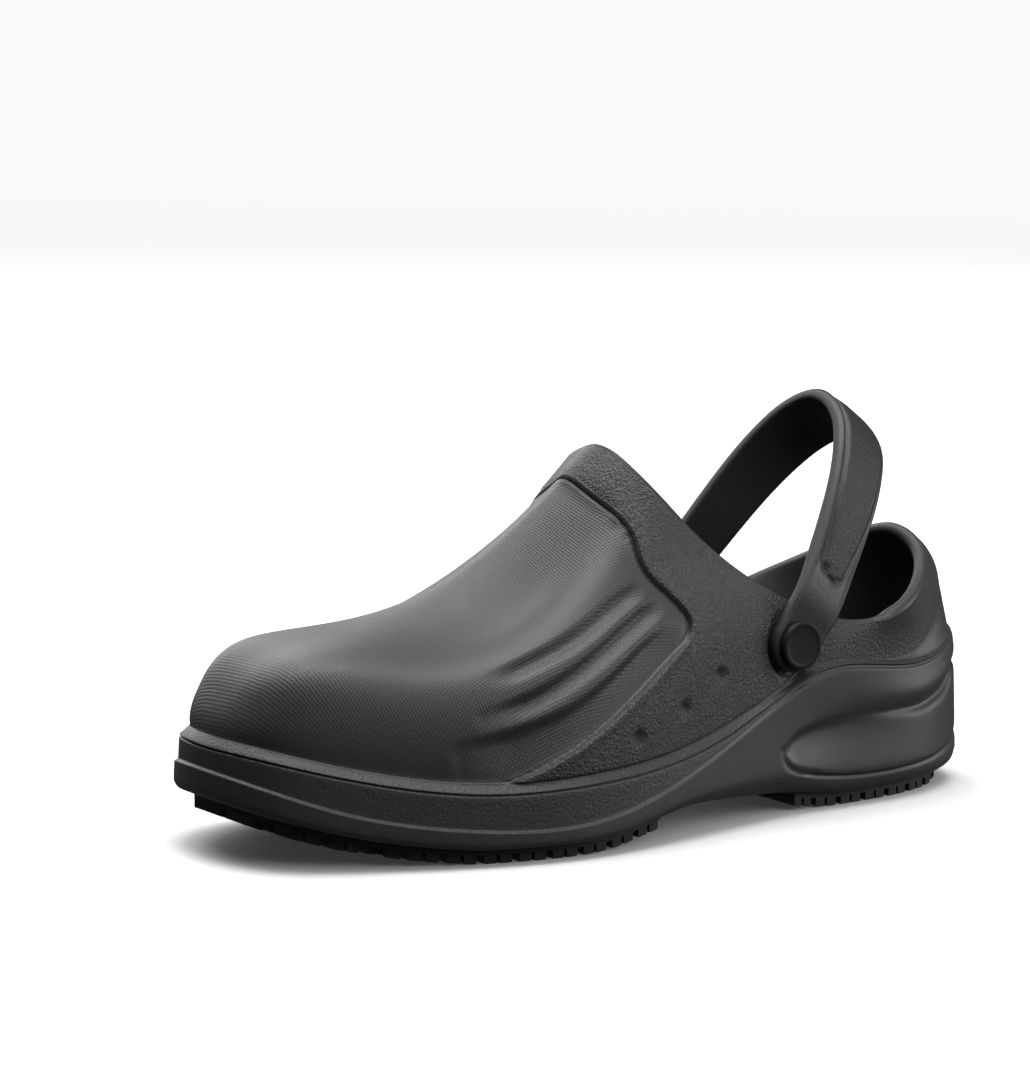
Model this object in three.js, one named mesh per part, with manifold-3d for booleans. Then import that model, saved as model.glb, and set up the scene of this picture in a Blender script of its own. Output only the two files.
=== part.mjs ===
// Chef clog, left shoe. A one-piece moulded foam body (upper and midsole in one),
// two rubber outsole pads with lugs, a loose insole and a heel strap that turns on
// two rivets. Millimetres, +X towards the toe, +Y towards the lateral side, +Z up,
// origin on the floor under the middle of the shoe.
import * as THREE from 'three';
import Module from 'manifold-3d';

const wasm = await Module();
wasm.setup();

// Driving sizes of the last and the body
const SHOE_LENGTH = 290;
const BALL_WIDTH = 110;
const COLLAR_HEIGHT = 120;
const LEDGE_HEIGHT = 54;
const TOE_SPRING = 16;
const HEEL_STACK = 20;
const UPPER_WALL = 4;
const COLLAR_WALL = 3.4;
const LEDGE_INSET = 5;
const SHOULDER_LEAN = 0.16;
const LEDGE_LIP = 2.4;
const LINE_STEP = 1.4;
const SOLE_UNDERCUT = 5;
const HEEL_BAND_STEP = 1.4;
const SOLE_EDGE_INSET = 1.2;
const LOW_BAND_INSET = 0.1;
const HIGH_BAND_INSET = 0.2;
const LINE_LEAD_INSET = 0.4;
const LINE_LEAD = 0.8;
const BED_INSET = 11;
const PANEL_RISE = 1.2;

// Outsole, insole, strap and rivets
const TREAD_HEIGHT = 4.8;
const LUG_DEPTH = 2.8;
const LUG_PITCH = 11;
const LUG_GAP = 2.4;
const PAD_INSET = 8.5;
const SEAT_CLEARANCE = 0.3;
const INSOLE_THICKNESS = 3.5;
const INSOLE_CLEARANCE = 0.4;
const STRAP_THICKNESS = 4;
const STRAP_END_WIDTH = 19;
const STRAP_CROWN_WIDTH = 25;
const STRAP_REACH = 83;
const STRAP_ANGLE = THREE.MathUtils.degToRad(54);
const STRAP_SEAT_DEPTH = 1.2;
const STRAP_SEAT_LENGTH = 25;
const STRAP_SEAT_MARGIN = 2;
const CAP_DIAMETER = 15.8;
const CAP_THICKNESS = 2.6;
const POST_DIAMETER = 6;
const POST_CLEARANCE = 0.3;
const BUTTON_DIAMETER = 12;
const BUTTON_THICKNESS = 1.8;
const RIVET_BOSS_DEPTH = 1.6;
const RIVET_BOSS_MARGIN = 1.5;
const CUT_OVERRUN = 1;

// Grooves and dimples pressed into the lateral side
const GROOVE_WIDTH = 9;
const GROOVE_DEPTH = 2;
const DIMPLE_DIAMETER = 5;
const DIMPLE_DEPTH = 1.4;

// Facets
const COLUMNS = 72;
const UPPER_ROWS = 8;
const ROUND_SIDES = 20;
const GROOVE_SIDES = 12;
const GROOVE_STEPS = 12;
const STRAP_STEPS = 14;

function table(columns, rows) {
  return rows.map((row) => Object.fromEntries(columns.map((name, i) => [name, row[i]])));
}

// Outline of the shoe seen from above, from the heel along the lateral side to the
// toe and back along the medial side. Along is a share of the shoe's length from
// the heel, across a share of the ball width from the middle line.
const OUTLINE = table(['place', 'along', 'across'], [
  ['heel back', 0.004, 0.004],
  ['heel corner, lateral', 0.034, 0.228],
  ['heel, lateral', 0.135, 0.364],
  ['heel front, lateral', 0.256, 0.390],
  ['waist, lateral', 0.360, 0.415],
  ['shank, lateral', 0.496, 0.482],
  ['ball, lateral', 0.637, 0.520],
  ['little toe', 0.764, 0.452],
  ['toe side, lateral', 0.881, 0.323],
  ['toe corner, lateral', 0.970, 0.163],
  ['toe tip', 0.999, -0.100],
  ['toe corner, medial', 0.968, -0.345],
  ['toe side, medial', 0.888, -0.458],
  ['big toe joint', 0.770, -0.495],
  ['ball, medial', 0.637, -0.470],
  ['shank, medial', 0.500, -0.385],
  ['waist, medial', 0.365, -0.342],
  ['heel front, medial', 0.250, -0.350],
  ['heel, medial', 0.130, -0.340],
  ['heel corner, medial', 0.033, -0.212],
]);

// Sections of the body's side and upper at the same places, heel back to toe tip,
// and mirrored along the medial side. Line and ledge are shares of the ledge
// height, shoulder the ledge's rise at the upper, the rim's place is in shares of
// length, ball width and collar height. Out and up are the shares of the way from
// the ledge to the rim at three knots of the wall.
const SECTIONS = table(
  ['line', 'ledge', 'shoulder', 'low', 'high', 'step', 'rimAlong', 'rimAcross', 'rimUp',
    'out1', 'up1', 'out2', 'up2', 'out3', 'up3'],
  [
    [0.980, 1.000, 0.40, 0.18, 0.66, 1.0, 0.062, 0.000, 0.710, 0.10, 0.24, 0.38, 0.56, 0.77, 0.84],
    [0.928, 0.942, 0.29, 0.19, 0.64, 1.0, 0.079, 0.195, 0.648, 0.10, 0.27, 0.38, 0.58, 0.77, 0.85],
    [0.828, 0.846, 0.04, 0.22, 0.63, 0.9, 0.154, 0.347, 0.541, 0.09, 0.30, 0.37, 0.60, 0.75, 0.86],
    [0.878, 0.898, 0.03, 0.19, 0.63, 0.6, 0.224, 0.328, 0.505, 0.10, 0.29, 0.35, 0.62, 0.74, 0.89],
    [0.712, 0.738, 0.03, 0.25, 0.54, 0.2, 0.302, 0.322, 0.559, 0.06, 0.29, 0.25, 0.61, 0.64, 0.89],
    [0.410, 0.530, 0.03, 0.34, 0.65, 0.0, 0.373, 0.305, 0.648, 0.02, 0.27, 0.17, 0.57, 0.53, 0.84],
    [0.224, 0.459, 0.03, 0.35, 0.65, 0.0, 0.433, 0.262, 0.763, 0.01, 0.24, 0.15, 0.47, 0.53, 0.74],
    [0.224, 0.449, 0.03, 0.35, 0.65, 0.0, 0.476, 0.226, 0.874, 0.02, 0.19, 0.14, 0.38, 0.50, 0.62],
    [0.322, 0.541, 0.03, 0.35, 0.65, 0.0, 0.497, 0.150, 0.951, 0.03, 0.18, 0.15, 0.33, 0.55, 0.46],
    [0.484, 0.658, 0.03, 0.36, 0.65, 0.0, 0.500, 0.070, 0.986, 0.02, 0.15, 0.13, 0.32, 0.55, 0.43],
    [0.548, 0.690, 0.03, 0.37, 0.65, 0.0, 0.502, 0.000, 1.000, 0.04, 0.14, 0.16, 0.30, 0.54, 0.45],
  ]);
const WALL_KNOTS = [0, 0.195, 0.41, 0.705, 1];

// The underside of the foam above the rubber's plane: sole in shares of the toe
// spring. Stack is the foam under the foot, in shares of the heel stack.
const SOLE_LINE = table(['along', 'sole', 'stack'], [
  [0.00, 0.00, 1.00],
  [0.24, 0.00, 0.96],
  [0.36, 0.23, 0.72],
  [0.49, 0.34, 0.52],
  [0.62, 0.02, 0.43],
  [0.66, 0.00, 0.42],
  [0.75, 0.00, 0.41],
  [0.80, 0.07, 0.41],
  [0.88, 0.31, 0.42],
  [0.95, 0.66, 0.44],
  [1.00, 1.00, 0.46],
]);

// Front edge of the raised collar band and quarter panel, seen from the side
const PANEL_EDGE = table(['along', 'up'], [
  [0.545, 0.990],
  [0.537, 0.910],
  [0.526, 0.845],
  [0.520, 0.785],
  [0.521, 0.735],
  [0.516, 0.695],
  [0.502, 0.655],
  [0.487, 0.612],
  [0.479, 0.570],
  [0.484, 0.538],
  [0.502, 0.506],
  [0.524, 0.472],
  [0.576, 0.393],
  [0.622, 0.327],
  [0.659, 0.280],
  [0.700, 0.236],
  [0.740, 0.200],
]);

// Three grooves on the lateral side. Round is a share of the turn round the shoe,
// up a share of the wall from the ledge to the rim.
const GROOVES = [
  table(['round', 'up'], [[0.313, 0.78], [0.325, 0.69], [0.338, 0.55], [0.353, 0.46], [0.360, 0.43]]),
  table(['round', 'up'], [[0.290, 0.73], [0.303, 0.59], [0.318, 0.41], [0.339, 0.30], [0.354, 0.26]]),
  table(['round', 'up'], [[0.273, 0.58], [0.287, 0.41], [0.307, 0.25], [0.330, 0.18], [0.352, 0.15]]),
];
const DIMPLES = table(['round', 'up'], [[0.275, 0.10], [0.251, 0.18], [0.233, 0.29]]);

// The strap's path from a rivet to the middle of its crown. Up is a share of the
// reach, out a share of the half span at the rivets.
const STRAP_PATH = table(['up', 'out'], [
  [0.00, 1.000],
  [0.10, 1.000],
  [0.20, 0.996],
  [0.34, 0.920],
  [0.50, 0.825],
  [0.68, 0.695],
  [0.83, 0.530],
  [0.94, 0.325],
  [1.00, 0.000],
]);
// The pads end in shares of the shoe's length, and their channels along it lie in
// shares of the ball width from the middle line
const HEEL_PAD_END = 0.31;
const FOREFOOT_PAD_START = 0.53;
const HEEL_CHANNELS = [-0.17, 0.02, 0.21];
const FOREFOOT_CHANNELS = [-0.28, -0.1, 0.08, 0.26];
const RIVET_ALONG = 0.325;
const RIVET_UP = 0.475;

// Finishes
function finish(color, roughness) {
  return new THREE.MeshStandardMaterial({ color, roughness, metalness: 0 });
}
const foam = finish(0x3a3a3e, 0.6);
const foamStrap = finish(0x2f2f33, 0.5);
const rubber = finish(0x141416, 0.8);
const plastic = finish(0x1c1c1f, 0.35);
const lining = finish(0x2a2a2d, 0.8);

// Splines. Slopes solves the smooth cubic through the values, closed on itself or
// with a parabola's slope at both ends.
function hermite(a, b, slopeA, slopeB, t) {
  const s = 1 - t;
  return s * s * ((1 + 2 * t) * a + t * slopeA) + t * t * ((3 - 2 * t) * b - s * slopeB);
}
function closedSpline(values) {
  const n = values.length;
  const at = (i) => (i + n) % n;
  const slopes = values.map(() => 0);
  for (let pass = 0; pass < 60; pass++) {
    for (let i = 0; i < n; i++) {
      const rise = 3 * (values[at(i + 1)] - values[at(i - 1)]);
      slopes[i] = (rise - slopes[at(i + 1)] - slopes[at(i - 1)]) / 4;
    }
  }
  return (turn) => {
    const place = (turn - Math.floor(turn)) * n;
    const i = Math.floor(place) % n;
    return hermite(values[i], values[at(i + 1)], slopes[i], slopes[at(i + 1)], place - Math.floor(place));
  };
}
function openSpline(knots, values) {
  const last = knots.length - 1;
  const step = knots.slice(1).map((knot, i) => knot - knots[i]);
  const rise = step.map((h, i) => (values[i + 1] - values[i]) / h);
  const end = (h0, h1, r0, r1) => ((2 * h0 + h1) * r0 - h0 * r1) / (h0 + h1);
  const slopes = values.map(() => 0);
  slopes[0] = end(step[0], step[1], rise[0], rise[1]);
  slopes[last] = end(step[last - 1], step[last - 2], rise[last - 1], rise[last - 2]);
  for (let pass = 0; pass < 60; pass++) {
    for (let i = 1; i < last; i++) {
      const before = step[i - 1];
      const after = step[i];
      const pull = 3 * (after * rise[i - 1] + before * rise[i]);
      slopes[i] = (pull - after * slopes[i - 1] - before * slopes[i + 1]) / (2 * (before + after));
    }
  }
  return (place) => {
    let i = 0;
    while (i < last - 1 && place > knots[i + 1]) i++;
    const t = (place - knots[i]) / step[i];
    return hermite(values[i], values[i + 1], slopes[i] * step[i], slopes[i + 1] * step[i], t);
  };
}
// A line that keeps level stretches level and never overshoots its rows
function levelLine(rows, name) {
  const knots = rows.map((row) => row.along * SHOE_LENGTH);
  const values = rows.map((row) => row[name]);
  const rise = knots.slice(1).map((knot, i) => (values[i + 1] - values[i]) / (knot - knots[i]));
  const slopes = values.map((_, i) => {
    const before = rise[Math.max(i - 1, 0)];
    const after = rise[Math.min(i, rise.length - 1)];
    return before * after > 0 ? (2 * before * after) / (before + after) : 0;
  });
  return (x) => {
    const place = THREE.MathUtils.clamp(x, knots[0], knots[knots.length - 1]);
    let i = 0;
    while (i < rise.length - 1 && place > knots[i + 1]) i++;
    const step = knots[i + 1] - knots[i];
    return hermite(values[i], values[i + 1], slopes[i] * step, slopes[i + 1] * step, (place - knots[i]) / step);
  };
}

const outlineAlong = closedSpline(OUTLINE.map((row) => row.along));
const outlineAcross = closedSpline(OUTLINE.map((row) => row.across));
function roundTheShoe(name, medialSign = 1) {
  const there = SECTIONS.map((row) => row[name]);
  const back = there.slice(1, -1).reverse().map((value) => value * medialSign);
  return closedSpline([...there, ...back]);
}
const section = {};
for (const name of Object.keys(SECTIONS[0])) {
  section[name] = roundTheShoe(name, name === 'rimAcross' ? -1 : 1);
}
const soleShare = levelLine(SOLE_LINE, 'sole');
const stackShare = levelLine(SOLE_LINE, 'stack');
const undersideAt = (x) => TREAD_HEIGHT + TOE_SPRING * soleShare(x);
const floorContact = (x) => TOE_SPRING * soleShare(x);
const footbedAt = (x) => undersideAt(x) + HEEL_STACK * stackShare(x);

// The outline's point and outward direction at a share of the turn
function outlineAt(turn) {
  const point = new THREE.Vector2(outlineAlong(turn) * SHOE_LENGTH, outlineAcross(turn) * BALL_WIDTH);
  const nudge = 0.0005;
  const alongX = (outlineAlong(turn + nudge) - outlineAlong(turn - nudge)) * SHOE_LENGTH;
  const alongY = (outlineAcross(turn + nudge) - outlineAcross(turn - nudge)) * BALL_WIDTH;
  return { point, out: new THREE.Vector2(-alongY, alongX).normalize() };
}
function insetPoint(turn, inset, height) {
  const { point, out } = outlineAt(turn);
  const x = point.x - out.x * inset;
  const y = point.y - out.y * inset;
  return new THREE.Vector3(x, y, typeof height === 'function' ? height(x) : height);
}

// One column of the body's outer face: the side of the sole, then the upper's wall
function sideColumn(turn) {
  const sole = undersideAt(insetPoint(turn, SOLE_UNDERCUT, 0).x);
  const line = section.line(turn) * LEDGE_HEIGHT;
  const ledge = section.ledge(turn) * LEDGE_HEIGHT;
  const shoulder = section.shoulder(turn) * LEDGE_HEIGHT;
  const mix = THREE.MathUtils.lerp;
  const low = mix(sole, line, section.low(turn));
  const high = mix(sole, line, section.high(turn));
  const step = section.step(turn) * HEEL_BAND_STEP;
  return [
    [SOLE_UNDERCUT, sole],
    [SOLE_EDGE_INSET, mix(sole, low, 0.35)],
    [0, mix(sole, low, 0.7)],
    [LOW_BAND_INSET + 0.25 * step, low],
    [LOW_BAND_INSET + 0.45 * step, mix(low, high, 0.6)],
    [HIGH_BAND_INSET + 1.1 * step, high],
    [HIGH_BAND_INSET + 0.8 * step, mix(high, line, 0.45)],
    [LINE_LEAD_INSET + 0.7 * step, line - LINE_LEAD],
    [LINE_STEP, line],
    [LEDGE_LIP, ledge],
    [LEDGE_INSET + shoulder * SHOULDER_LEAN, ledge + shoulder],
  ].map(([inset, height]) => insetPoint(turn, inset, height));
}
function wallColumn(turn) {
  const shoulder = section.shoulder(turn) * LEDGE_HEIGHT;
  const ledge = section.ledge(turn) * LEDGE_HEIGHT;
  const foot = insetPoint(turn, LEDGE_INSET + shoulder * SHOULDER_LEAN, ledge + shoulder);
  const rim = new THREE.Vector3(
    section.rimAlong(turn) * SHOE_LENGTH,
    section.rimAcross(turn) * BALL_WIDTH,
    section.rimUp(turn) * COLLAR_HEIGHT);
  const out = openSpline(WALL_KNOTS, [0, ...['out1', 'out2', 'out3'].map((name) => section[name](turn)), 1]);
  const up = openSpline(WALL_KNOTS, [0, ...['up1', 'up2', 'up3'].map((name) => section[name](turn)), 1]);
  return (share) => new THREE.Vector3(
    THREE.MathUtils.lerp(foot.x, rim.x, out(share)),
    THREE.MathUtils.lerp(foot.y, rim.y, out(share)),
    THREE.MathUtils.lerp(foot.z, rim.z, up(share)));
}
const turns = Array.from({ length: COLUMNS }, (_, i) => i / COLUMNS);
const sideRings = turns.map(sideColumn);
const wallPaths = turns.map(wallColumn);
const wallShares = Array.from({ length: UPPER_ROWS + 1 }, (_, k) => k / UPPER_ROWS);
const wallRings = wallShares.map((share) => wallPaths.map((path) => path(share)));

// Outward normals of a grid of rings
function ringNormals(rings) {
  return rings.map((ring, k) => ring.map((_, i) => {
    const next = ring[(i + 1) % COLUMNS];
    const before = ring[(i + COLUMNS - 1) % COLUMNS];
    const above = rings[Math.min(k + 1, rings.length - 1)][i];
    const below = rings[Math.max(k - 1, 0)][i];
    const round = new THREE.Vector3().subVectors(next, before);
    const rise = new THREE.Vector3().subVectors(above, below);
    return rise.cross(round).normalize();
  }));
}
const wallNormals = ringNormals(wallRings);
function offsetWall(distance) {
  return wallRings.map((ring, k) => ring.map((point, i) =>
    point.clone().addScaledVector(wallNormals[k][i], distance)));
}
// The upper's own surface at any turn and share, with its outward normal
function wallAt(turn, share) {
  const nudge = 0.004;
  const point = wallColumn(turn)(share);
  const round = wallColumn(turn + nudge)(share).sub(wallColumn(turn - nudge)(share));
  const rise = wallColumn(turn)(share + nudge).sub(wallColumn(turn)(share - nudge));
  return { point, normal: rise.cross(round).normalize() };
}

// Solids. A loft joins rings of points that run round the shoe, and closes its
// first and last ring with strips from one side to the other.
function solidOf(points, triangles) {
  const vertProperties = Float32Array.from(points.flatMap((p) => [p.x, p.y, p.z]));
  return new wasm.Manifold(new wasm.Mesh({
    numProp: 3, vertProperties, triVerts: Uint32Array.from(triangles.flat()),
  }));
}
function loft(rings) {
  const n = rings[0].length;
  const triangles = [];
  const quad = (a, b, c, d) => triangles.push([a, b, c], [a, c, d]);
  for (let k = 0; k < rings.length - 1; k++) {
    for (let i = 0; i < n; i++) {
      const j = (i + 1) % n;
      quad(k * n + i, (k + 1) * n + i, (k + 1) * n + j, k * n + j);
    }
  }
  const top = (rings.length - 1) * n;
  for (let i = 0; i < n / 2; i++) {
    const far = (n - i) % n;
    const farNext = n - i - 1;
    if (i === 0) {
      triangles.push([0, 1, farNext], [top, top + farNext, top + 1]);
    } else if (i === n / 2 - 1) {
      triangles.push([i, i + 1, far], [top + i, top + far, top + i + 1]);
    } else {
      quad(i, i + 1, farNext, far);
      quad(top + i, top + far, top + farNext, top + i + 1);
    }
  }
  return solidOf(rings.flat(), triangles);
}
function fromGeometry(geometry) {
  const positions = geometry.attributes.position;
  const points = [];
  const seen = new Map();
  const merged = [];
  for (let i = 0; i < positions.count; i++) {
    const p = new THREE.Vector3().fromBufferAttribute(positions, i);
    const key = p.toArray().map((value) => value.toFixed(4)).join(' ');
    if (!seen.has(key)) {
      seen.set(key, points.length);
      points.push(p);
    }
    merged.push(seen.get(key));
  }
  const corners = geometry.index ? Array.from(geometry.index.array) : merged.map((_, i) => i);
  const triangles = [];
  for (let i = 0; i < corners.length; i += 3) {
    const [a, b, c] = [merged[corners[i]], merged[corners[i + 1]], merged[corners[i + 2]]];
    if (a !== b && b !== c && c !== a) triangles.push([a, b, c]);
  }
  return solidOf(points, triangles);
}
function toGeometry(solid) {
  const mesh = solid.getMesh();
  const geometry = new THREE.BufferGeometry();
  geometry.setAttribute('position', new THREE.BufferAttribute(Float32Array.from(mesh.vertProperties), 3));
  geometry.setIndex(new THREE.BufferAttribute(Uint32Array.from(mesh.triVerts), 1));
  geometry.computeVertexNormals();
  return geometry;
}
// A disc or bar along Y between two depths
function pinAlongY(radius, x, z, y0, y1, sides = ROUND_SIDES) {
  const geometry = new THREE.CylinderGeometry(radius, radius, Math.abs(y1 - y0), sides);
  geometry.translate(x, (y0 + y1) / 2, z);
  return fromGeometry(geometry);
}
// A bar of round section along a route of centres, each with its own radius
function roundBar(route, radius, sides = 10) {
  const points = [];
  const triangles = [];
  route.forEach((centre, k) => {
    const ahead = route[Math.min(k + 1, route.length - 1)];
    const behind = route[Math.max(k - 1, 0)];
    const along = new THREE.Vector3().subVectors(ahead, behind).normalize();
    const sideways = new THREE.Vector3(0, 0, 1).cross(along).normalize();
    const across = new THREE.Vector3().crossVectors(along, sideways);
    for (let i = 0; i < sides; i++) {
      const angle = (i / sides) * 2 * Math.PI;
      points.push(centre.clone()
        .addScaledVector(sideways, radius * Math.cos(angle))
        .addScaledVector(across, radius * Math.sin(angle)));
    }
  });
  for (let k = 0; k < route.length - 1; k++) {
    for (let i = 0; i < sides; i++) {
      const [a, b] = [k * sides + i, k * sides + (i + 1) % sides];
      triangles.push([a, b, b + sides], [a, b + sides, a + sides]);
    }
  }
  const last = (route.length - 1) * sides;
  for (let i = 1; i < sides - 1; i++) {
    triangles.push([0, i + 1, i], [last, last + i, last + i + 1]);
  }
  return solidOf(points, triangles);
}

// The body: outer form, raised panel, hollow inside
const undersideRing = turns.map((turn) => insetPoint(turn, SOLE_UNDERCUT, undersideAt));
function rimRing(rings, wall) {
  return rings[rings.length - 1].map((point, i) => {
    const normal = wallNormals[UPPER_ROWS][i];
    return point.clone().addScaledVector(normal, -0.3 * wall).add(new THREE.Vector3(0, 0, 0.25 * wall));
  });
}
const sideRows = sideRings[0].map((_, k) => sideRings.map((column) => column[k]));
const outerForm = loft([...sideRows, ...wallRings.slice(1), rimRing(wallRings, COLLAR_WALL)]);

const raisedWall = offsetWall(PANEL_RISE);
const panelFoot = turns.map((turn) => insetPoint(
  turn, LEDGE_INSET + UPPER_WALL / 2, section.ledge(turn) * LEDGE_HEIGHT - UPPER_WALL / 2));
const panelForm = loft([panelFoot, ...raisedWall, rimRing(raisedWall, COLLAR_WALL)]);
function panelPrism() {
  const shape = new THREE.Shape();
  const behind = -0.1 * SHOE_LENGTH;
  const above = 1.2 * COLLAR_HEIGHT;
  const edge = PANEL_EDGE.map((row) => [row.along * SHOE_LENGTH, row.up * COLLAR_HEIGHT]);
  shape.moveTo(behind, above);
  shape.lineTo(edge[0][0], above);
  edge.forEach(([x, z]) => shape.lineTo(x, z));
  shape.lineTo(edge[edge.length - 1][0], 0);
  shape.lineTo(behind, 0);
  const geometry = new THREE.ExtrudeGeometry(shape, { depth: 2 * BALL_WIDTH, bevelEnabled: false });
  geometry.rotateX(Math.PI / 2);
  geometry.translate(0, BALL_WIDTH, 0);
  return fromGeometry(geometry);
}
const innerWall = offsetWall(-UPPER_WALL);
const innerRim = offsetWall(-COLLAR_WALL)[UPPER_ROWS];
const CAVITY_OVERRUN = 15;
const cavity = loft([
  turns.map((turn) => insetPoint(turn, BED_INSET, footbedAt)),
  turns.map((turn) => insetPoint(turn, LEDGE_INSET + UPPER_WALL, (x) => THREE.MathUtils.lerp(
    footbedAt(x), section.ledge(turn) * LEDGE_HEIGHT, 0.6))),
  ...innerWall.slice(1, UPPER_ROWS),
  innerRim,
  innerRim.map((point) => point.clone().add(new THREE.Vector3(0, 0, CAVITY_OVERRUN))),
]);

// Rivet places, and the flat seats that the strap's ends and the buttons lie on
const rivetX = RIVET_ALONG * SHOE_LENGTH;
const rivetZ = RIVET_UP * COLLAR_HEIGHT;
function wallDepthAt(side, rings) {
  let depth = 0;
  let nearest = Infinity;
  rings.flat().forEach((point) => {
    const distance = Math.hypot(point.x - rivetX, point.z - rivetZ);
    if (point.y * side > 0 && distance < nearest) {
      nearest = distance;
      depth = Math.abs(point.y);
    }
  });
  return depth;
}
const seatY = (side) => wallDepthAt(side, raisedWall) - STRAP_SEAT_DEPTH;
const bossY = (side) => wallDepthAt(side, innerWall) - RIVET_BOSS_DEPTH;
const strapInnerY = (side) => seatY(side) + SEAT_CLEARANCE;
const strapOuterY = (side) => strapInnerY(side) + STRAP_THICKNESS;

// The flat slot with a round end that the strap's leg lies in
function strapSeat(side) {
  const radius = STRAP_END_WIDTH / 2 + STRAP_SEAT_MARGIN;
  const shape = new THREE.Shape();
  shape.absarc(0, 0, radius, -Math.PI / 2, Math.PI / 2, false);
  shape.lineTo(-STRAP_SEAT_LENGTH, radius);
  shape.lineTo(-STRAP_SEAT_LENGTH, -radius);
  const geometry = new THREE.ExtrudeGeometry(shape, {
    depth: BALL_WIDTH - seatY(side), bevelEnabled: false, curveSegments: ROUND_SIDES / 2,
  });
  geometry.rotateZ(-STRAP_ANGLE);
  geometry.rotateX(Math.PI / 2);
  geometry.translate(rivetX, side > 0 ? BALL_WIDTH : -seatY(side), rivetZ);
  return fromGeometry(geometry);
}

let body = outerForm.add(panelForm.intersect(panelPrism())).subtract(cavity);
for (const side of [1, -1]) {
  const bossRadius = BUTTON_DIAMETER / 2 + RIVET_BOSS_MARGIN;
  const bossOuter = side * (seatY(side) - CUT_OVERRUN);
  body = body.add(pinAlongY(bossRadius, rivetX, rivetZ, side * bossY(side), bossOuter));
  body = body.subtract(strapSeat(side));
  const holeRadius = POST_DIAMETER / 2 + POST_CLEARANCE;
  body = body.subtract(pinAlongY(holeRadius, rivetX, rivetZ, side * bossY(side) / 2, side * BALL_WIDTH));
}

// Grooves: a round bar that dips into the wall and lifts out at both ends
function grooveBar(rows) {
  const radius = (GROOVE_WIDTH ** 2 / 4 + GROOVE_DEPTH ** 2) / (2 * GROOVE_DEPTH);
  const knots = rows.map((_, i) => i / (rows.length - 1));
  const round = openSpline(knots, rows.map((row) => row.round));
  const up = openSpline(knots, rows.map((row) => row.up));
  const steps = GROOVE_STEPS;
  const route = [];
  for (let k = 0; k <= steps; k++) {
    const { point, normal } = wallAt(round(k / steps), up(k / steps));
    const sunk = GROOVE_DEPTH * Math.min(1, Math.sin((k / steps) * Math.PI) * 1.5);
    const lift = k === 0 || k === steps ? radius * 1.1 : radius - sunk;
    route.push(point.addScaledVector(normal, lift));
  }
  return roundBar(route, radius, GROOVE_SIDES);
}
for (const rows of GROOVES) {
  body = body.subtract(grooveBar(rows));
}
for (const { round, up } of DIMPLES) {
  const { point, normal } = wallAt(round, up);
  const start = point.clone().addScaledVector(normal, PANEL_RISE - DIMPLE_DEPTH);
  const end = point.clone().addScaledVector(normal, PANEL_RISE + DIMPLE_DEPTH);
  body = body.subtract(roundBar([start, end], DIMPLE_DIAMETER / 2));
}

// Rubber pads under the heel and the forefoot. The plate follows the underside of
// the foam, and channels across and along leave the lugs.
function bounded(solid, from, to) {
  const block = new THREE.BoxGeometry(to - from, 2 * BALL_WIDTH, 4 * COLLAR_HEIGHT);
  block.translate((from + to) / 2, 0, 0);
  return solid.intersect(fromGeometry(block));
}
function channelAlong(y, from, to) {
  const steps = Math.max(2, Math.round((to - from) / LUG_PITCH));
  const points = [];
  const triangles = [];
  for (let k = 0; k <= steps; k++) {
    const x = THREE.MathUtils.lerp(from, to, k / steps);
    const top = floorContact(x) + LUG_DEPTH;
    const bottom = floorContact(x) - LUG_DEPTH;
    for (const [side, z] of [[-1, bottom], [1, bottom], [1, top], [-1, top]]) {
      points.push(new THREE.Vector3(x, y + side * LUG_GAP / 2, z));
    }
  }
  for (let k = 0; k < steps; k++) {
    for (let i = 0; i < 4; i++) {
      const [a, b] = [k * 4 + i, k * 4 + (i + 1) % 4];
      triangles.push([a, b + 4, b], [a, a + 4, b + 4]);
    }
  }
  const last = steps * 4;
  triangles.push([0, 1, 2], [0, 2, 3], [last, last + 2, last + 1], [last, last + 3, last + 2]);
  return solidOf(points, triangles.map(([a, b, c]) => [a, c, b]));
}
function channelAcross(x) {
  const box = new THREE.BoxGeometry(LUG_GAP, 2 * BALL_WIDTH, 2 * LUG_DEPTH);
  box.translate(x, 0, floorContact(x));
  return fromGeometry(box);
}
function treadPad(from, to, channelShares) {
  const bottom = turns.map((turn) => insetPoint(turn, PAD_INSET, floorContact));
  const top = turns.map((turn) => insetPoint(turn, PAD_INSET, (x) => undersideAt(x) - SEAT_CLEARANCE));
  let pad = bounded(loft([bottom, top]), from, to);
  for (const share of channelShares) {
    const end = Math.min(to, SHOE_LENGTH) + CUT_OVERRUN;
    pad = pad.subtract(channelAlong(share * BALL_WIDTH, from - CUT_OVERRUN, end));
  }
  const count = Math.floor((Math.min(to, SHOE_LENGTH) - from) / LUG_PITCH);
  for (let i = 1; i < count; i++) {
    pad = pad.subtract(channelAcross(from + i * LUG_PITCH));
  }
  return pad;
}
const heelPad = treadPad(-PAD_INSET, HEEL_PAD_END * SHOE_LENGTH, HEEL_CHANNELS);
const forefootPad = treadPad(
  FOREFOOT_PAD_START * SHOE_LENGTH, SHOE_LENGTH + PAD_INSET, FOREFOOT_CHANNELS);

// Insole: a slab on the footbed
const insoleInset = BED_INSET + INSOLE_CLEARANCE;
const insole = loft([
  turns.map((turn) => insetPoint(turn, insoleInset, (x) => footbedAt(x) + SEAT_CLEARANCE)),
  turns.map((turn) => insetPoint(turn, insoleInset, (x) => footbedAt(x) + SEAT_CLEARANCE + INSOLE_THICKNESS)),
]);

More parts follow.
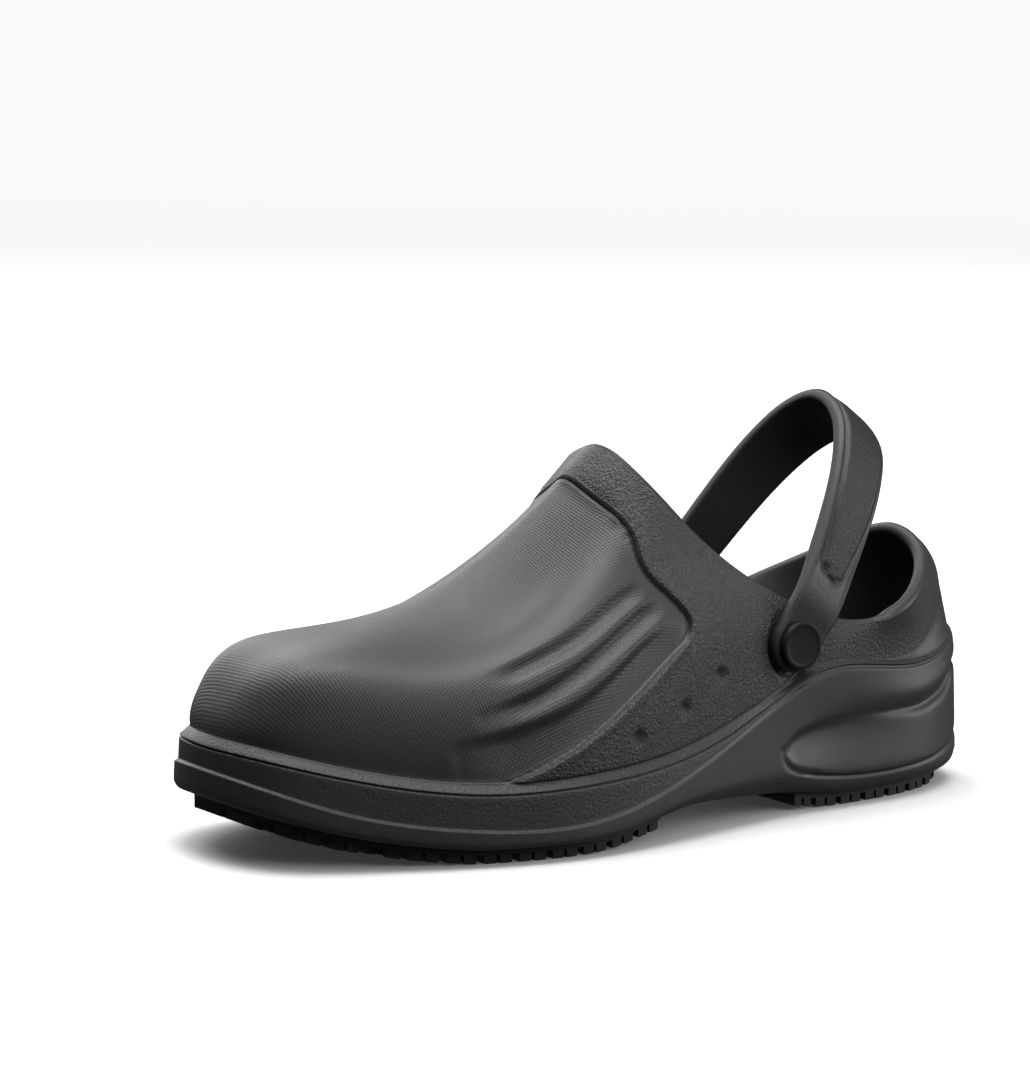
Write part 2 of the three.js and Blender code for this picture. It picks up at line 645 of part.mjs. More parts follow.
// Heel strap: a band along its path, with round ends under the rivet caps
function strapSolid() {
  const lateral = STRAP_PATH.map((row) => [row.up * STRAP_REACH, row.out * strapInnerY(1)]);
  const medial = STRAP_PATH.map((row) => [row.up * STRAP_REACH, -row.out * strapInnerY(-1)]);
  const path = [...lateral, ...medial.slice(0, -1).reverse()];
  const knots = path.map((_, i) => i / (path.length - 1));
  const upAt = openSpline(knots, path.map(([up]) => up));
  const acrossAt = openSpline(knots, path.map(([, across]) => across));
  const along = new THREE.Vector3(-Math.cos(STRAP_ANGLE), 0, Math.sin(STRAP_ANGLE));
  const wide = new THREE.Vector3(Math.sin(STRAP_ANGLE), 0, Math.cos(STRAP_ANGLE));
  const steps = STRAP_STEPS;
  const stations = [];
  for (let k = 0; k <= 2 * steps; k++) {
    stations.push({ up: upAt(k / (2 * steps)), y: acrossAt(k / (2 * steps)) });
  }
  const points = [];
  stations.forEach((station, k) => {
    const ahead = stations[Math.min(k + 1, 2 * steps)];
    const behind = stations[Math.max(k - 1, 0)];
    const tangent = new THREE.Vector2(ahead.up - behind.up, ahead.y - behind.y).normalize();
    const outward = new THREE.Vector2(-tangent.y, tangent.x);
    if (k === 0 || k === 2 * steps) outward.set(0, Math.sign(station.y));
    const crown = (station.up / STRAP_REACH) ** 1.5;
    const half = THREE.MathUtils.lerp(STRAP_END_WIDTH, STRAP_CROWN_WIDTH, crown) / 2;
    const soft = STRAP_THICKNESS * 0.3;
    const section = [
      [-half + soft, 0], [half - soft, 0], [half, soft], [half, STRAP_THICKNESS - soft],
      [half - soft, STRAP_THICKNESS], [-half + soft, STRAP_THICKNESS],
      [-half, STRAP_THICKNESS - soft], [-half, soft],
    ];
    section.forEach(([across, depth]) => {
      const rise = station.up + outward.x * depth;
      const y = station.y + outward.y * depth;
      points.push(new THREE.Vector3(rivetX, y, rivetZ)
        .addScaledVector(along, rise)
        .addScaledVector(wide, across));
    });
  });
  const triangles = [];
  for (let k = 0; k < 2 * steps; k++) {
    for (let i = 0; i < 8; i++) {
      const [a, b] = [k * 8 + i, k * 8 + (i + 1) % 8];
      triangles.push([a, b, b + 8], [a, b + 8, a + 8]);
    }
  }
  const last = 2 * steps * 8;
  for (let i = 1; i < 7; i++) {
    triangles.push([0, i + 1, i], [last, last + i, last + i + 1]);
  }
  let strap = solidOf(points, triangles);
  if (strap.volume() < 0) strap = solidOf(points, triangles.map(([a, b, c]) => [a, c, b]));
  for (const side of [1, -1]) {
    const [inner, outer] = [side * strapInnerY(side), side * strapOuterY(side)];
    strap = strap.add(pinAlongY(STRAP_END_WIDTH / 2, rivetX, rivetZ, inner, outer));
    const hole = POST_DIAMETER / 2 + POST_CLEARANCE;
    const overrun = side * CUT_OVERRUN;
    strap = strap.subtract(pinAlongY(hole, rivetX, rivetZ, inner - overrun, outer + overrun));
  }
  return strap;
}

// Rivets: a cap with its post from outside, and a ring button inside the wall
function capSolid(side) {
  const face = strapOuterY(side) + SEAT_CLEARANCE;
  const crown = face + CAP_THICKNESS;
  const postEnd = bossY(side) - SEAT_CLEARANCE - BUTTON_THICKNESS;
  const radius = CAP_DIAMETER / 2;
  const edge = CAP_THICKNESS * 0.3;
  const profile = [
    [0, postEnd], [POST_DIAMETER / 2, postEnd], [POST_DIAMETER / 2, face], [radius, face],
    [radius, crown - edge], [radius - edge, crown], [0, crown],
  ].map(([r, y]) => new THREE.Vector2(r, y));
  const geometry = new THREE.LatheGeometry(profile, ROUND_SIDES);
  if (side < 0) geometry.rotateX(Math.PI);
  geometry.translate(rivetX, 0, rivetZ);
  return fromGeometry(geometry);
}
function buttonSolid(side) {
  const seat = bossY(side) - SEAT_CLEARANCE;
  const [near, far] = [side * seat, side * (seat - BUTTON_THICKNESS)];
  const hole = POST_DIAMETER / 2 + POST_CLEARANCE;
  const overrun = side * CUT_OVERRUN;
  return pinAlongY(BUTTON_DIAMETER / 2, rivetX, rivetZ, far, near)
    .subtract(pinAlongY(hole, rivetX, rivetZ, far - overrun, near + overrun));
}

// The shoe, with its origin under the middle of its box
const pieces = [
  ['upper_and_midsole', body, foam],
  ['outsole_heel', heelPad, rubber],
  ['outsole_forefoot', forefootPad, rubber],
  ['insole', insole, lining],
  ['heel_strap', strapSolid(), foamStrap],
  ['rivet_cap_lateral', capSolid(1), plastic],
  ['rivet_cap_medial', capSolid(-1), plastic],
  ['rivet_button_lateral', buttonSolid(1), plastic],
  ['rivet_button_medial', buttonSolid(-1), plastic],
];
const shoe = new THREE.Group();
for (const [name, solid, material] of pieces) {
  const mesh = new THREE.Mesh(toGeometry(solid), material);
  mesh.name = name;
  shoe.add(mesh);
}
const box = new THREE.Box3().setFromObject(shoe);
shoe.position.set(-(box.min.x + box.max.x) / 2, -(box.min.y + box.max.y) / 2, -box.min.z);
export default shoe;
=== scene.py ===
# %% [markdown]
# A chef clog, left shoe, built round a packed CAD model.
# The real clog is one moulding of black foam: sole side, upper and collar come out
# of the same mould. On it ride a rubber tread, a loose insole, a heel strap of the
# same foam and two plastic rivets. The CAD solids say where each piece is, and this
# lesson gives each its fine surface and finish. The frame is loaded first and never
# moved. The CAD body's box is read to place the shoe in it.

# %% The frame
import math

import bmesh
import bpy
import numpy as np
from mathutils import Matrix, Vector


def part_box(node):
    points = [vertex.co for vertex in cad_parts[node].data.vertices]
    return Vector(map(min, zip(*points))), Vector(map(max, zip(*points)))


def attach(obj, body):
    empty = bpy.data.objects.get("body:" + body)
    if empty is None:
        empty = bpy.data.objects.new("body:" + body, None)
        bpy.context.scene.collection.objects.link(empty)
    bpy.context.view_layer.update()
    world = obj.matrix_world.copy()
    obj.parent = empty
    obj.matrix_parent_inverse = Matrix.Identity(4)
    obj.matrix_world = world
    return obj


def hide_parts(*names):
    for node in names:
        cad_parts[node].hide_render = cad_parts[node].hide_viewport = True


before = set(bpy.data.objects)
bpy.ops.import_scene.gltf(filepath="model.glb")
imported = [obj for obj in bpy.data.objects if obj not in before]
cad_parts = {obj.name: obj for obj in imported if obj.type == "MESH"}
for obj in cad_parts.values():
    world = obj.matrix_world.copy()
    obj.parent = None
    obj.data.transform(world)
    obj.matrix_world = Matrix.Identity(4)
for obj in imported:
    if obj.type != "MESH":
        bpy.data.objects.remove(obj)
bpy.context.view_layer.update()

# %% [markdown]
# The shoe is worked out in millimetres with the heel at zero, the toe along X, the
# outer side along Y and up along Z, as a last maker would measure it. These are the
# real sizes of the last, the sole and the fittings. Everything below follows them.

# %% Sizes of the last and the sole
SHOE_LENGTH = 290.0
BALL_WIDTH = 110.0
COLLAR_HEIGHT = 120.0
LEDGE_HEIGHT = 54.0
TOE_SPRING = 16.0
HEEL_STACK = 20.0
UPPER_WALL = 4.0
COLLAR_WALL = 3.4
LEDGE_INSET = 5.0
SHOULDER_LEAN = 0.16
SOLE_UNDERCUT = 5.0
BED_INSET = 11.0
PANEL_RISE = 1.2
TREAD_HEIGHT = 4.8
SEAT_CLEARANCE = 0.3
MM = 0.001
print("Shoe, mm:", SHOE_LENGTH, "long and", BALL_WIDTH, "wide at the ball")

# %% [markdown]
# The outline from above is a closed curve through twenty places round the shoe. Along
# is a share of the length and across a share of the ball width. Both sides are listed,
# because a last is not symmetrical: the toe leans inwards and the ball bulges outwards.

# %% Outline and sections
OUTLINE = np.array([
    # along, across: heel back, then the outer side to the toe tip
    (0.004, 0.004), (0.034, 0.228), (0.135, 0.364), (0.256, 0.390), (0.360, 0.415),
    (0.496, 0.482), (0.637, 0.520), (0.764, 0.452), (0.881, 0.323), (0.970, 0.163),
    # toe tip, then the inner side back to the heel
    (0.999, -0.100), (0.968, -0.345), (0.888, -0.458), (0.770, -0.495), (0.637, -0.470),
    (0.500, -0.385), (0.365, -0.342), (0.250, -0.350), (0.130, -0.340), (0.033, -0.212),
])
SECTION_COLUMNS = ("line", "ledge", "shoulder", "low", "high", "step", "rim_along", "rim_across",
                   "rim_up", "out1", "up1", "out2", "up2", "out3", "up3")
SECTIONS = np.array([
    (0.980, 1.000, 0.40, 0.18, 0.66, 1.0, 0.062, 0.000, 0.710, 0.10, 0.24, 0.38, 0.56, 0.77, 0.84),
    (0.928, 0.942, 0.29, 0.19, 0.64, 1.0, 0.079, 0.195, 0.648, 0.10, 0.27, 0.38, 0.58, 0.77, 0.85),
    (0.828, 0.846, 0.04, 0.22, 0.63, 0.9, 0.154, 0.347, 0.541, 0.09, 0.30, 0.37, 0.60, 0.75, 0.86),
    (0.878, 0.898, 0.03, 0.19, 0.63, 0.6, 0.224, 0.328, 0.505, 0.10, 0.29, 0.35, 0.62, 0.74, 0.89),
    (0.712, 0.738, 0.03, 0.25, 0.54, 0.2, 0.302, 0.322, 0.559, 0.06, 0.29, 0.25, 0.61, 0.64, 0.89),
    (0.410, 0.530, 0.03, 0.34, 0.65, 0.0, 0.373, 0.305, 0.648, 0.02, 0.27, 0.17, 0.57, 0.53, 0.84),
    (0.224, 0.459, 0.03, 0.35, 0.65, 0.0, 0.433, 0.262, 0.763, 0.01, 0.24, 0.15, 0.47, 0.53, 0.74),
    (0.224, 0.449, 0.03, 0.35, 0.65, 0.0, 0.476, 0.226, 0.874, 0.02, 0.19, 0.14, 0.38, 0.50, 0.62),
    (0.322, 0.541, 0.03, 0.35, 0.65, 0.0, 0.497, 0.150, 0.951, 0.03, 0.18, 0.15, 0.33, 0.55, 0.46),
    (0.484, 0.658, 0.03, 0.36, 0.65, 0.0, 0.500, 0.070, 0.986, 0.02, 0.15, 0.13, 0.32, 0.55, 0.43),
    (0.548, 0.690, 0.03, 0.37, 0.65, 0.0, 0.502, 0.000, 1.000, 0.04, 0.14, 0.16, 0.30, 0.54, 0.45),
])
WALL_KNOTS = (0, 0.195, 0.41, 0.705, 1)
# along, sole in shares of the toe spring, stack in shares of the heel stack
SOLE_LINE = np.array([
    (0.00, 0.00, 1.00), (0.24, 0.00, 0.96), (0.36, 0.23, 0.72), (0.49, 0.34, 0.52),
    (0.62, 0.02, 0.43), (0.66, 0.00, 0.42), (0.75, 0.00, 0.41), (0.80, 0.07, 0.41),
    (0.88, 0.31, 0.42), (0.95, 0.66, 0.44), (1.00, 1.00, 0.46),
])
print("Places round the outline:", len(OUTLINE), "sections:", len(SECTIONS))

# %% [markdown]
# Two helpers are used all over the shoe. One turns a value into a soft step, the other
# measures how far a place is from a route of straight spans. A distance turned into a
# height by a soft step gives a trough, a ridge or a panel's edge.

# %% Soft steps and distances


def smooth(edge0, edge1, value):
    t = np.clip((value - edge0) / (edge1 - edge0), 0, 1)
    return t * t * (3 - 2 * t)


def blend(a, b, share):
    return a + (b - a) * share


def nearest_on_route(points, route):
    """Distance to a route, the share of the way along it, and the offset from it."""
    best = np.full(points.shape[:-1], np.inf)
    along = np.zeros(points.shape[:-1])
    offset = np.zeros(points.shape)
    heading = np.zeros(points.shape)
    spans = len(route) - 1
    for k in range(spans):
        span = route[k + 1] - route[k]
        t = np.clip(((points - route[k]) @ span) / (span @ span), 0, 1)
        away = points - (route[k] + t[..., None] * span)
        distance = np.linalg.norm(away, axis=-1)
        closer = distance < best
        best = np.where(closer, distance, best)
        along = np.where(closer, (k + t) / spans, along)
        offset = np.where(closer[..., None], away, offset)
        heading = np.where(closer[..., None], span / np.linalg.norm(span), heading)
    return best, along, offset, heading


print("Soft step at its middle:", smooth(0, 2, 1.0))

# %% [markdown]
# Smooth curves through few points keep the shoe fair. The closed spline runs round the
# outline, the open one up the wall, and the level line keeps the flats of the sole
# flat. Each returns a function that takes whole arrays, so thousands of points are
# worked out at once.

# %% Splines


def hermite(a, b, slope_a, slope_b, t):
    s = 1 - t
    return s * s * ((1 + 2 * t) * a + t * slope_a) + t * t * ((3 - 2 * t) * b - s * slope_b)


def closed_spline(values):
    values = np.array(values, float)
    n = len(values)
    pull = 4 * np.eye(n) + np.roll(np.eye(n), 1, 0) + np.roll(np.eye(n), -1, 0)
    slopes = np.linalg.solve(pull, 3 * (np.roll(values, -1) - np.roll(values, 1)))

    def at(turn):
        place = np.mod(turn, 1.0) * n
        i = np.floor(place).astype(int) % n
        j = (i + 1) % n
        return hermite(values[i], values[j], slopes[i], slopes[j], place - np.floor(place))
    return at


def open_spline(knots, values):
    knots = np.array(knots, float)
    values = np.array(values, float)
    last = len(knots) - 1
    step = np.diff(knots)
    tail = (1,) * (values.ndim - 1)
    rise = np.diff(values, axis=0) / step.reshape(-1, *tail)
    pull = np.zeros((last + 1, last + 1))
    want = np.zeros_like(values)
    for end, near, far in ((0, 0, 1), (last, last - 1, last - 2)):
        pull[end, end] = 1
        both = step[near] + step[far]
        want[end] = ((step[near] + both) * rise[near] - step[near] * rise[far]) / both
    for i in range(1, last):
        before, after = step[i - 1], step[i]
        pull[i, i - 1:i + 2] = after, 2 * (before + after), before
        want[i] = 3 * (after * rise[i - 1] + before * rise[i])
    slopes = np.linalg.solve(pull, want.reshape(last + 1, -1)).reshape(values.shape)

    def at(place):
        place = np.atleast_1d(place)
        i = np.clip(np.searchsorted(knots, place, side="right") - 1, 0, last - 1)
        h = step[i].reshape(-1, *tail)
        t = ((place - knots[i]) / step[i]).reshape(-1, *tail)
        return hermite(values[i], values[i + 1], slopes[i] * h, slopes[i + 1] * h, t)
    return at


print("Open spline through squares, halfway:", open_spline([0, 1, 2], [0.0, 1.0, 4.0])(1.5))

# %% Level line and smooth route


def level_line(along, values):
    knots = np.array(along) * SHOE_LENGTH
    rise = np.diff(values) / np.diff(knots)
    before = np.concatenate([rise[:1], rise])
    after = np.concatenate([rise, rise[-1:]])
    both = np.where(before + after == 0, 1, before + after)
    slopes = np.where(before * after > 0, 2 * before * after / both, 0)

    def at(x):
        place = np.clip(x, knots[0], knots[-1])
        i = np.clip(np.searchsorted(knots, place, side="right") - 1, 0, len(rise) - 1)
        step = knots[i + 1] - knots[i]
        t = (place - knots[i]) / step
        return hermite(values[i], values[i + 1], slopes[i] * step, slopes[i + 1] * step, t)
    return at


def smooth_route(points, steps):
    """A smooth route through a few places, evenly stepped."""
    points = np.array(points, float)
    knots = np.concatenate([[0], np.cumsum(np.linalg.norm(np.diff(points, axis=0), axis=1))])
    return open_spline(knots, points)(np.linspace(0, knots[-1], steps + 1))


print("Places on a route of eight steps:", len(smooth_route([(0, 0), (1, 1), (2, 0)], 8)))

# %% Curves of this shoe
outline_along = closed_spline(OUTLINE[:, 0])
outline_across = closed_spline(OUTLINE[:, 1])
section = {}
for column, name in enumerate(SECTION_COLUMNS):
    there = SECTIONS[:, column]
    back = there[-2:0:-1] * (-1 if name == "rim_across" else 1)
    section[name] = closed_spline(np.concatenate([there, back]))
sole_share = level_line(SOLE_LINE[:, 0], SOLE_LINE[:, 1])
stack_share = level_line(SOLE_LINE[:, 0], SOLE_LINE[:, 2])


def floor_contact(x):
    return TOE_SPRING * sole_share(x)


def underside_at(x):
    return TREAD_HEIGHT + floor_contact(x)


def footbed_at(x):
    return underside_at(x) + HEEL_STACK * stack_share(x)


print("Outline at the toe tip, mm:", np.round(outline_along(0.5) * SHOE_LENGTH, 1))

# %% [markdown]
# A place on the side is named by its turn round the shoe, from 0 at the heel back past
# the outer side to 0.5 at the toe, and by its inset from the widest outline. The CAD
# file put its origin under the middle of the box, so one shift brings these places into
# the frame: it is read off the CAD body's own box.

# %% Places round the shoe


def outline_at(turn):
    nudge = 0.0005
    point = np.stack([outline_along(turn) * SHOE_LENGTH, outline_across(turn) * BALL_WIDTH], -1)
    along_x = (outline_along(turn + nudge) - outline_along(turn - nudge)) * SHOE_LENGTH
    along_y = (outline_across(turn + nudge) - outline_across(turn - nudge)) * BALL_WIDTH
    out = np.stack([-along_y, along_x], -1)
    return point, out / np.linalg.norm(out, axis=-1, keepdims=True)


def inset_point(turn, inset, height):
    point, out = outline_at(turn)
    flat = point - out * np.asarray(inset)[..., None]
    z = height(flat[..., 0]) if callable(height) else height
    return np.concatenate([flat, np.broadcast_to(z, flat.shape[:-1])[..., None]], -1)


cad_turns = np.arange(72) / 72
cad_outline = outline_at(cad_turns)[0]
body_low, body_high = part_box("upper_and_midsole")
SHIFT = np.array([body_low.x / MM - cad_outline[:, 0].min(), body_high.y / MM - cad_outline[:, 1].max(), 0.0])
print("Shift into the frame, mm:", SHIFT.round(3))


def to_frame(points):
    return (np.asarray(points) + SHIFT) * MM


# %% [markdown]
# The wall of the upper climbs from the ledge to the rim of the collar. Each column of
# the wall is a smooth curve through three knots between its foot and its rim, given as
# shares of the way out and up.

# %% The wall of the upper


def wall_column_ends(turn):
    shoulder = section["shoulder"](turn) * LEDGE_HEIGHT
    ledge = section["ledge"](turn) * LEDGE_HEIGHT
    foot = inset_point(turn, LEDGE_INSET + shoulder * SHOULDER_LEAN, ledge + shoulder)
    rim = np.stack([
        section["rim_along"](turn) * SHOE_LENGTH,
        section["rim_across"](turn) * BALL_WIDTH,
        section["rim_up"](turn) * COLLAR_HEIGHT], -1)
    return foot, rim


def wall_grid(turns, shares):
    foot, rim = wall_column_ends(turns)
    zero, one = np.zeros(len(turns)), np.ones(len(turns))
    out = open_spline(WALL_KNOTS, [zero, *(section[n](turns) for n in ("out1", "out2", "out3")), one])(shares)
    up = open_spline(WALL_KNOTS, [zero, *(section[n](turns) for n in ("up1", "up2", "up3")), one])(shares)
    share = np.stack([out, out, up], -1)
    return foot + (rim - foot) * share


def wall_route(turns, shares):
    whole = wall_grid(np.asarray(turns), np.asarray(shares))
    pick = np.arange(len(turns))
    return whole[pick, pick]


print("Collar height at the front, mm:", wall_grid(np.array([0.5]), np.array([1.0]))[0, 0, 2].round(1))

# %% [markdown]
# The body is one closed skin, so it is made as one fine grid that is wrapped round the
# shoe: columns go round, rows go from the middle of the sole, up the side, over the
# rim and down inside to the footbed. A grid keeps the pressed details clean, because
# its columns can be set closer where the grooves and the panel edge are.

# %% Columns round the shoe
HALF_COLUMNS = 290
# turns between which the grooves and the panel's edge lie, and where the heel's creases are
FRONT_FROM, FRONT_TO = 0.185, 0.462
SOFT_FROM, SOFT_TO = 0.012, 0.010
HEEL_MIDDLE, HEEL_REACH = 0.13, 0.075
PLAIN_RATE, HEEL_RATE, FRONT_RATE = 0.36, 0.26, 0.64
fine = np.linspace(0, 0.5, 4001)
fine_outline = outline_at(fine)[0]
fine_step = np.linalg.norm(np.diff(fine_outline, axis=0), axis=1)
middle = (fine[1:] + fine[:-1]) / 2
opening = 1 + np.exp(-(middle - FRONT_FROM) / SOFT_FROM)
closing = 1 + np.exp((middle - FRONT_TO) / SOFT_TO)
front_closeness = 1 / opening / closing
heel_closeness = np.exp(-((middle - HEEL_MIDDLE) / HEEL_REACH) ** 4) * (1 - front_closeness)
rate = fine_step * (PLAIN_RATE + HEEL_RATE * heel_closeness + FRONT_RATE * front_closeness)
run = np.concatenate([[0], np.cumsum(rate)])
half_turns = np.interp(np.linspace(0, run[-1], HALF_COLUMNS + 1), run, fine)
turns = np.concatenate([half_turns, 1 - half_turns[-2::-1]])
column_steps = np.linalg.norm(np.diff(outline_at(turns)[0], axis=0), axis=1)
print("Columns:", len(turns), "steps in mm:", column_steps.min().round(2), "to", column_steps.max().round(2))

# %% [markdown]
# The side of the sole is a profile with rounded corners: a soft lower edge, the swell
# of the band, a thin step where the foam's lower band ends, a narrow mould seam, and
# the lip of the ledge. Each corner is a small arc of its own radius, so soft and crisp
# edges sit in the same skin.

# %% Rounded profile


def rounded_profile(corners, flats, arcs):
    """Corners are (inset, height, radius) for every column. Returns the rows of the profile."""
    points = [np.stack([inset, height], -1) for inset, height, _ in corners]
    rows = [points[0]]
    start = points[0]
    for k in range(1, len(points)):
        here = points[k]
        if k < len(points) - 1:
            back = points[k - 1] - here
            ahead = points[k + 1] - here
            back_length = np.linalg.norm(back, axis=-1, keepdims=True)
            ahead_length = np.linalg.norm(ahead, axis=-1, keepdims=True)
            radius = np.minimum(corners[k][2], 0.45 * np.minimum(back_length, ahead_length))
            enter = here + back / back_length * radius
            leave = here + ahead / ahead_length * radius
        else:
            enter = leave = here
        for flat in range(1, flats[k - 1] + 1):
            rows.append(start + (enter - start) * flat / (flats[k - 1] + 1))
        if k == len(points) - 1:
            rows.append(here)
            break
        for arc in range(arcs[k - 1] + 1):
            t = arc / arcs[k - 1]
            rows.append((1 - t) ** 2 * enter + 2 * t * (1 - t) * here + t * t * leave)
        start = leave
    return np.array(rows)


nought, one = np.zeros(1), np.ones(1)
square_corner = [(nought, nought, 0), (one, nought, 0.5), (one, one, 0)]
print("Rows of one rounded corner:", len(rounded_profile(square_corner, flats=(1, 1), arcs=(3,))))

# %% Heights round the side
sole = underside_at(inset_point(turns, SOLE_UNDERCUT, 0.0)[:, 0])
line = section["line"](turns) * LEDGE_HEIGHT
ledge = section["ledge"](turns) * LEDGE_HEIGHT
shoulder = section["shoulder"](turns) * LEDGE_HEIGHT
low = blend(sole, line, section["low"](turns))
high = blend(sole, line, section["high"](turns))
step = np.clip(section["step"](turns), 0, None)
band = ledge - line
level = np.ones(len(turns))
heel_seam = np.clip((2.5 - band) / 1.5, 0, 1)
print("Ledge at the heel and at the toe, mm:", ledge[0].round(1), ledge[HALF_COLUMNS].round(1))

# %% Side of the sole
side_profile = rounded_profile(
    [
        # inset, height and corner radius, from the sole's edge up to the foot of the wall
        (5.0 * level, sole, 0),
        (1.5 * level, blend(sole, low, 0.26), 4.0),
        (0.1 * level, blend(sole, low, 0.78), 6.0),
        (0.1 + 0.5 * step, blend(low, high, 0.60), 12.0),
        (0.25 + 1.0 * step, blend(high, line, 0.45), 8.0),
        (0.3 + 0.9 * step, line - 0.9, 0.35),
        (1.5 + 0.2 * step, line - 0.3, 0.35),
        (1.8 + 0.2 * step, ledge - np.minimum(2.3, 0.66 * band), 0.35),
        (2.8 + 0.4 * heel_seam, ledge - np.minimum(1.75, 0.50 * band), 0.3),
        (1.8 - 0.2 * heel_seam, ledge - np.minimum(1.4, 0.38 * band), 0.4),
        (4.0 - 1.2 * heel_seam, ledge + 0.5 - 0.3 * heel_seam, 1.0),
        (LEDGE_INSET + shoulder * SHOULDER_LEAN, ledge + shoulder, 0),
    ],
    flats=(2, 2, 5, 6, 5, 0, 6, 0, 0, 0, 3),
    arcs=(3, 4, 5, 4, 2, 2, 2, 2, 2, 4))
print("Rows on the side of the sole:", len(side_profile))

# %% [markdown]
# The side of the heel is moulded in three soft bands. Two creases sweep round the back
# and climb there, and on each side they close into a teardrop that is pressed in under
# its upper edge. The creases are drawn on the unrolled side: round is the length
# of the outline from the heel's middle in shoe lengths, and up is a share of the ledge's
# height. The skin's rows follow them, so that each crease is a clean line.

# %% Heel creases
TIP = (0.4215, 0.430)
UPPER_CREASE = np.array([
    (0.000, 0.815), (0.060, 0.800), (0.095, 0.760), (0.117, 0.725), (0.130, 0.678), (0.145, 0.640),
    (0.167, 0.609), (0.196, 0.578), (0.224, 0.572), (0.260, 0.575), (0.287, 0.582), (0.317, 0.586),
    (0.342, 0.579), (0.368, 0.567), (0.391, 0.545), (0.408, 0.508), TIP,
]) * (SHOE_LENGTH, LEDGE_HEIGHT)
LOWER_CREASE = np.array([
    (0.000, 0.470), (0.050, 0.445), (0.085, 0.380), (0.113, 0.305), (0.137, 0.262), (0.167, 0.226),
    (0.196, 0.213), (0.242, 0.203), (0.293, 0.205), (0.325, 0.216), (0.358, 0.238), (0.394, 0.282),
    (0.414, 0.338), TIP,
]) * (SHOE_LENGTH, LEDGE_HEIGHT)
CREASE_STRETCH = (7, 41)
BACK_STRETCH = (55, 118)
HOLLOW_STRETCH = (48, 104)
UPPER_SWELL = 1.0
LOWER_TUCK = 0.5
LOWER_SWELL = 1.2
HOLLOW_SWELL = 0.5
HOLLOW_DEPTH = 1.8
UPPER_CREASE_DEPTH = 0.8
UPPER_CREASE_WIDTH = 1.7
LOWER_CREASE_DEPTH = 0.7
LOWER_CREASE_WIDTH = 0.7
tip_round = TIP[0] * SHOE_LENGTH
fine_round = np.concatenate([[0], np.cumsum(fine_step)])
from_heel = np.interp(np.minimum(turns, 1 - turns), fine, fine_round)
upper_crease = np.interp(from_heel, UPPER_CREASE[:-2, 0], UPPER_CREASE[:-2, 1])
lower_crease = np.interp(from_heel, LOWER_CREASE[:-3, 0], LOWER_CREASE[:-3, 1])
print("Tip of the teardrop, mm round from the heel:", round(tip_round, 1))

# %% Rows along the creases


def rows_along_creases(profile):
    """Spreads a stretch of rows anew, closer together where the heel's creases run."""
    first, last = CREASE_STRETCH
    stretch = profile[first:last + 1]
    bottom, top = stretch[0, :, 1], stretch[-1, :, 1]
    ranks = np.array([0, 4, 8, 20, 26, last - first])
    plain = bottom + (top - bottom) * ranks[:, None] / ranks[-1]
    drawn = np.stack([bottom, lower_crease - 0.9, lower_crease + 0.9, upper_crease - 3.0,
                      upper_crease + 1.5, top])
    places = drawn + (plain - drawn) * smooth(tip_round - 4, tip_round + 34, from_heel)
    fresh = profile.copy()
    for column in range(profile.shape[1]):
        heights = np.interp(np.arange(last - first + 1), ranks, places[:, column])
        insets = np.interp(heights, stretch[:, column, 1], stretch[:, column, 0])
        fresh[first:last + 1, column] = np.stack([insets, heights], -1)
    return fresh


print("Rows that follow the creases:", CREASE_STRETCH[1] - CREASE_STRETCH[0] + 1)

# %% [markdown]
# The bands could be sculpted with a brush, but a height worked out from the distances
# to the two creases is the same on both sides and easy to correct. Above the upper
# crease the foam swells towards the back. Between the creases it is pressed in under
# the upper one, and below the lower one it is tucked in before it swells again.

# %% Relief of the heel's bands


def crease_distances(heights):
    """Distance below the upper crease and above the lower one, negative outside the teardrop."""
    places = np.stack([np.broadcast_to(from_heel, heights.shape), heights], -1)
    outside = from_heel > tip_round
    distances = []
    for crease, sign in ((UPPER_CREASE, 1), (LOWER_CREASE, -1)):
        near, *_ = nearest_on_route(places, smooth_route(crease, 90))
        above = heights > np.interp(from_heel, crease[:, 0], crease[:, 1])
        beyond = above if sign > 0 else ~above
        distances.append(near * np.where(beyond | outside, -1, 1))
    return distances


def heel_relief(heights):
    """Millimetres that the heel's bands stand proud of the plain side."""
    below_upper, above_lower = crease_distances(heights)
    towards_back = 1 - smooth(*BACK_STRETCH, from_heel)
    within = smooth(-0.2, 3.4, below_upper) * smooth(-0.5, 0.5, above_lower)
    upper_band = UPPER_SWELL * towards_back * smooth(0, 6, -below_upper) * smooth(0, 9, line - heights)
    lower_band = LOWER_SWELL * smooth(0.3, 7.0, -above_lower) - LOWER_TUCK
    lower_band *= smooth(tip_round, tip_round - 30, from_heel)
    share_up = above_lower / np.maximum(above_lower + below_upper, 0.5)
    pressed_in = smooth(0.0, 0.85, share_up) * smooth(*HOLLOW_STRETCH, from_heel)
    hollow = blend(HOLLOW_SWELL, -HOLLOW_DEPTH, pressed_in)
    bands = blend(lower_band, upper_band, smooth(1.0, -1.0, below_upper))
    relief = blend(bands, hollow, within)
    relief -= UPPER_CREASE_DEPTH * towards_back * np.exp(-(below_upper / UPPER_CREASE_WIDTH) ** 2)
    lower_line = np.exp(-((above_lower + 0.4) / LOWER_CREASE_WIDTH) ** 2)
    relief -= LOWER_CREASE_DEPTH * lower_line * (from_heel < tip_round + 3)
    return relief * smooth(0.5, 4.0, line - heights) * smooth(tip_round + 12, tip_round + 4, from_heel)


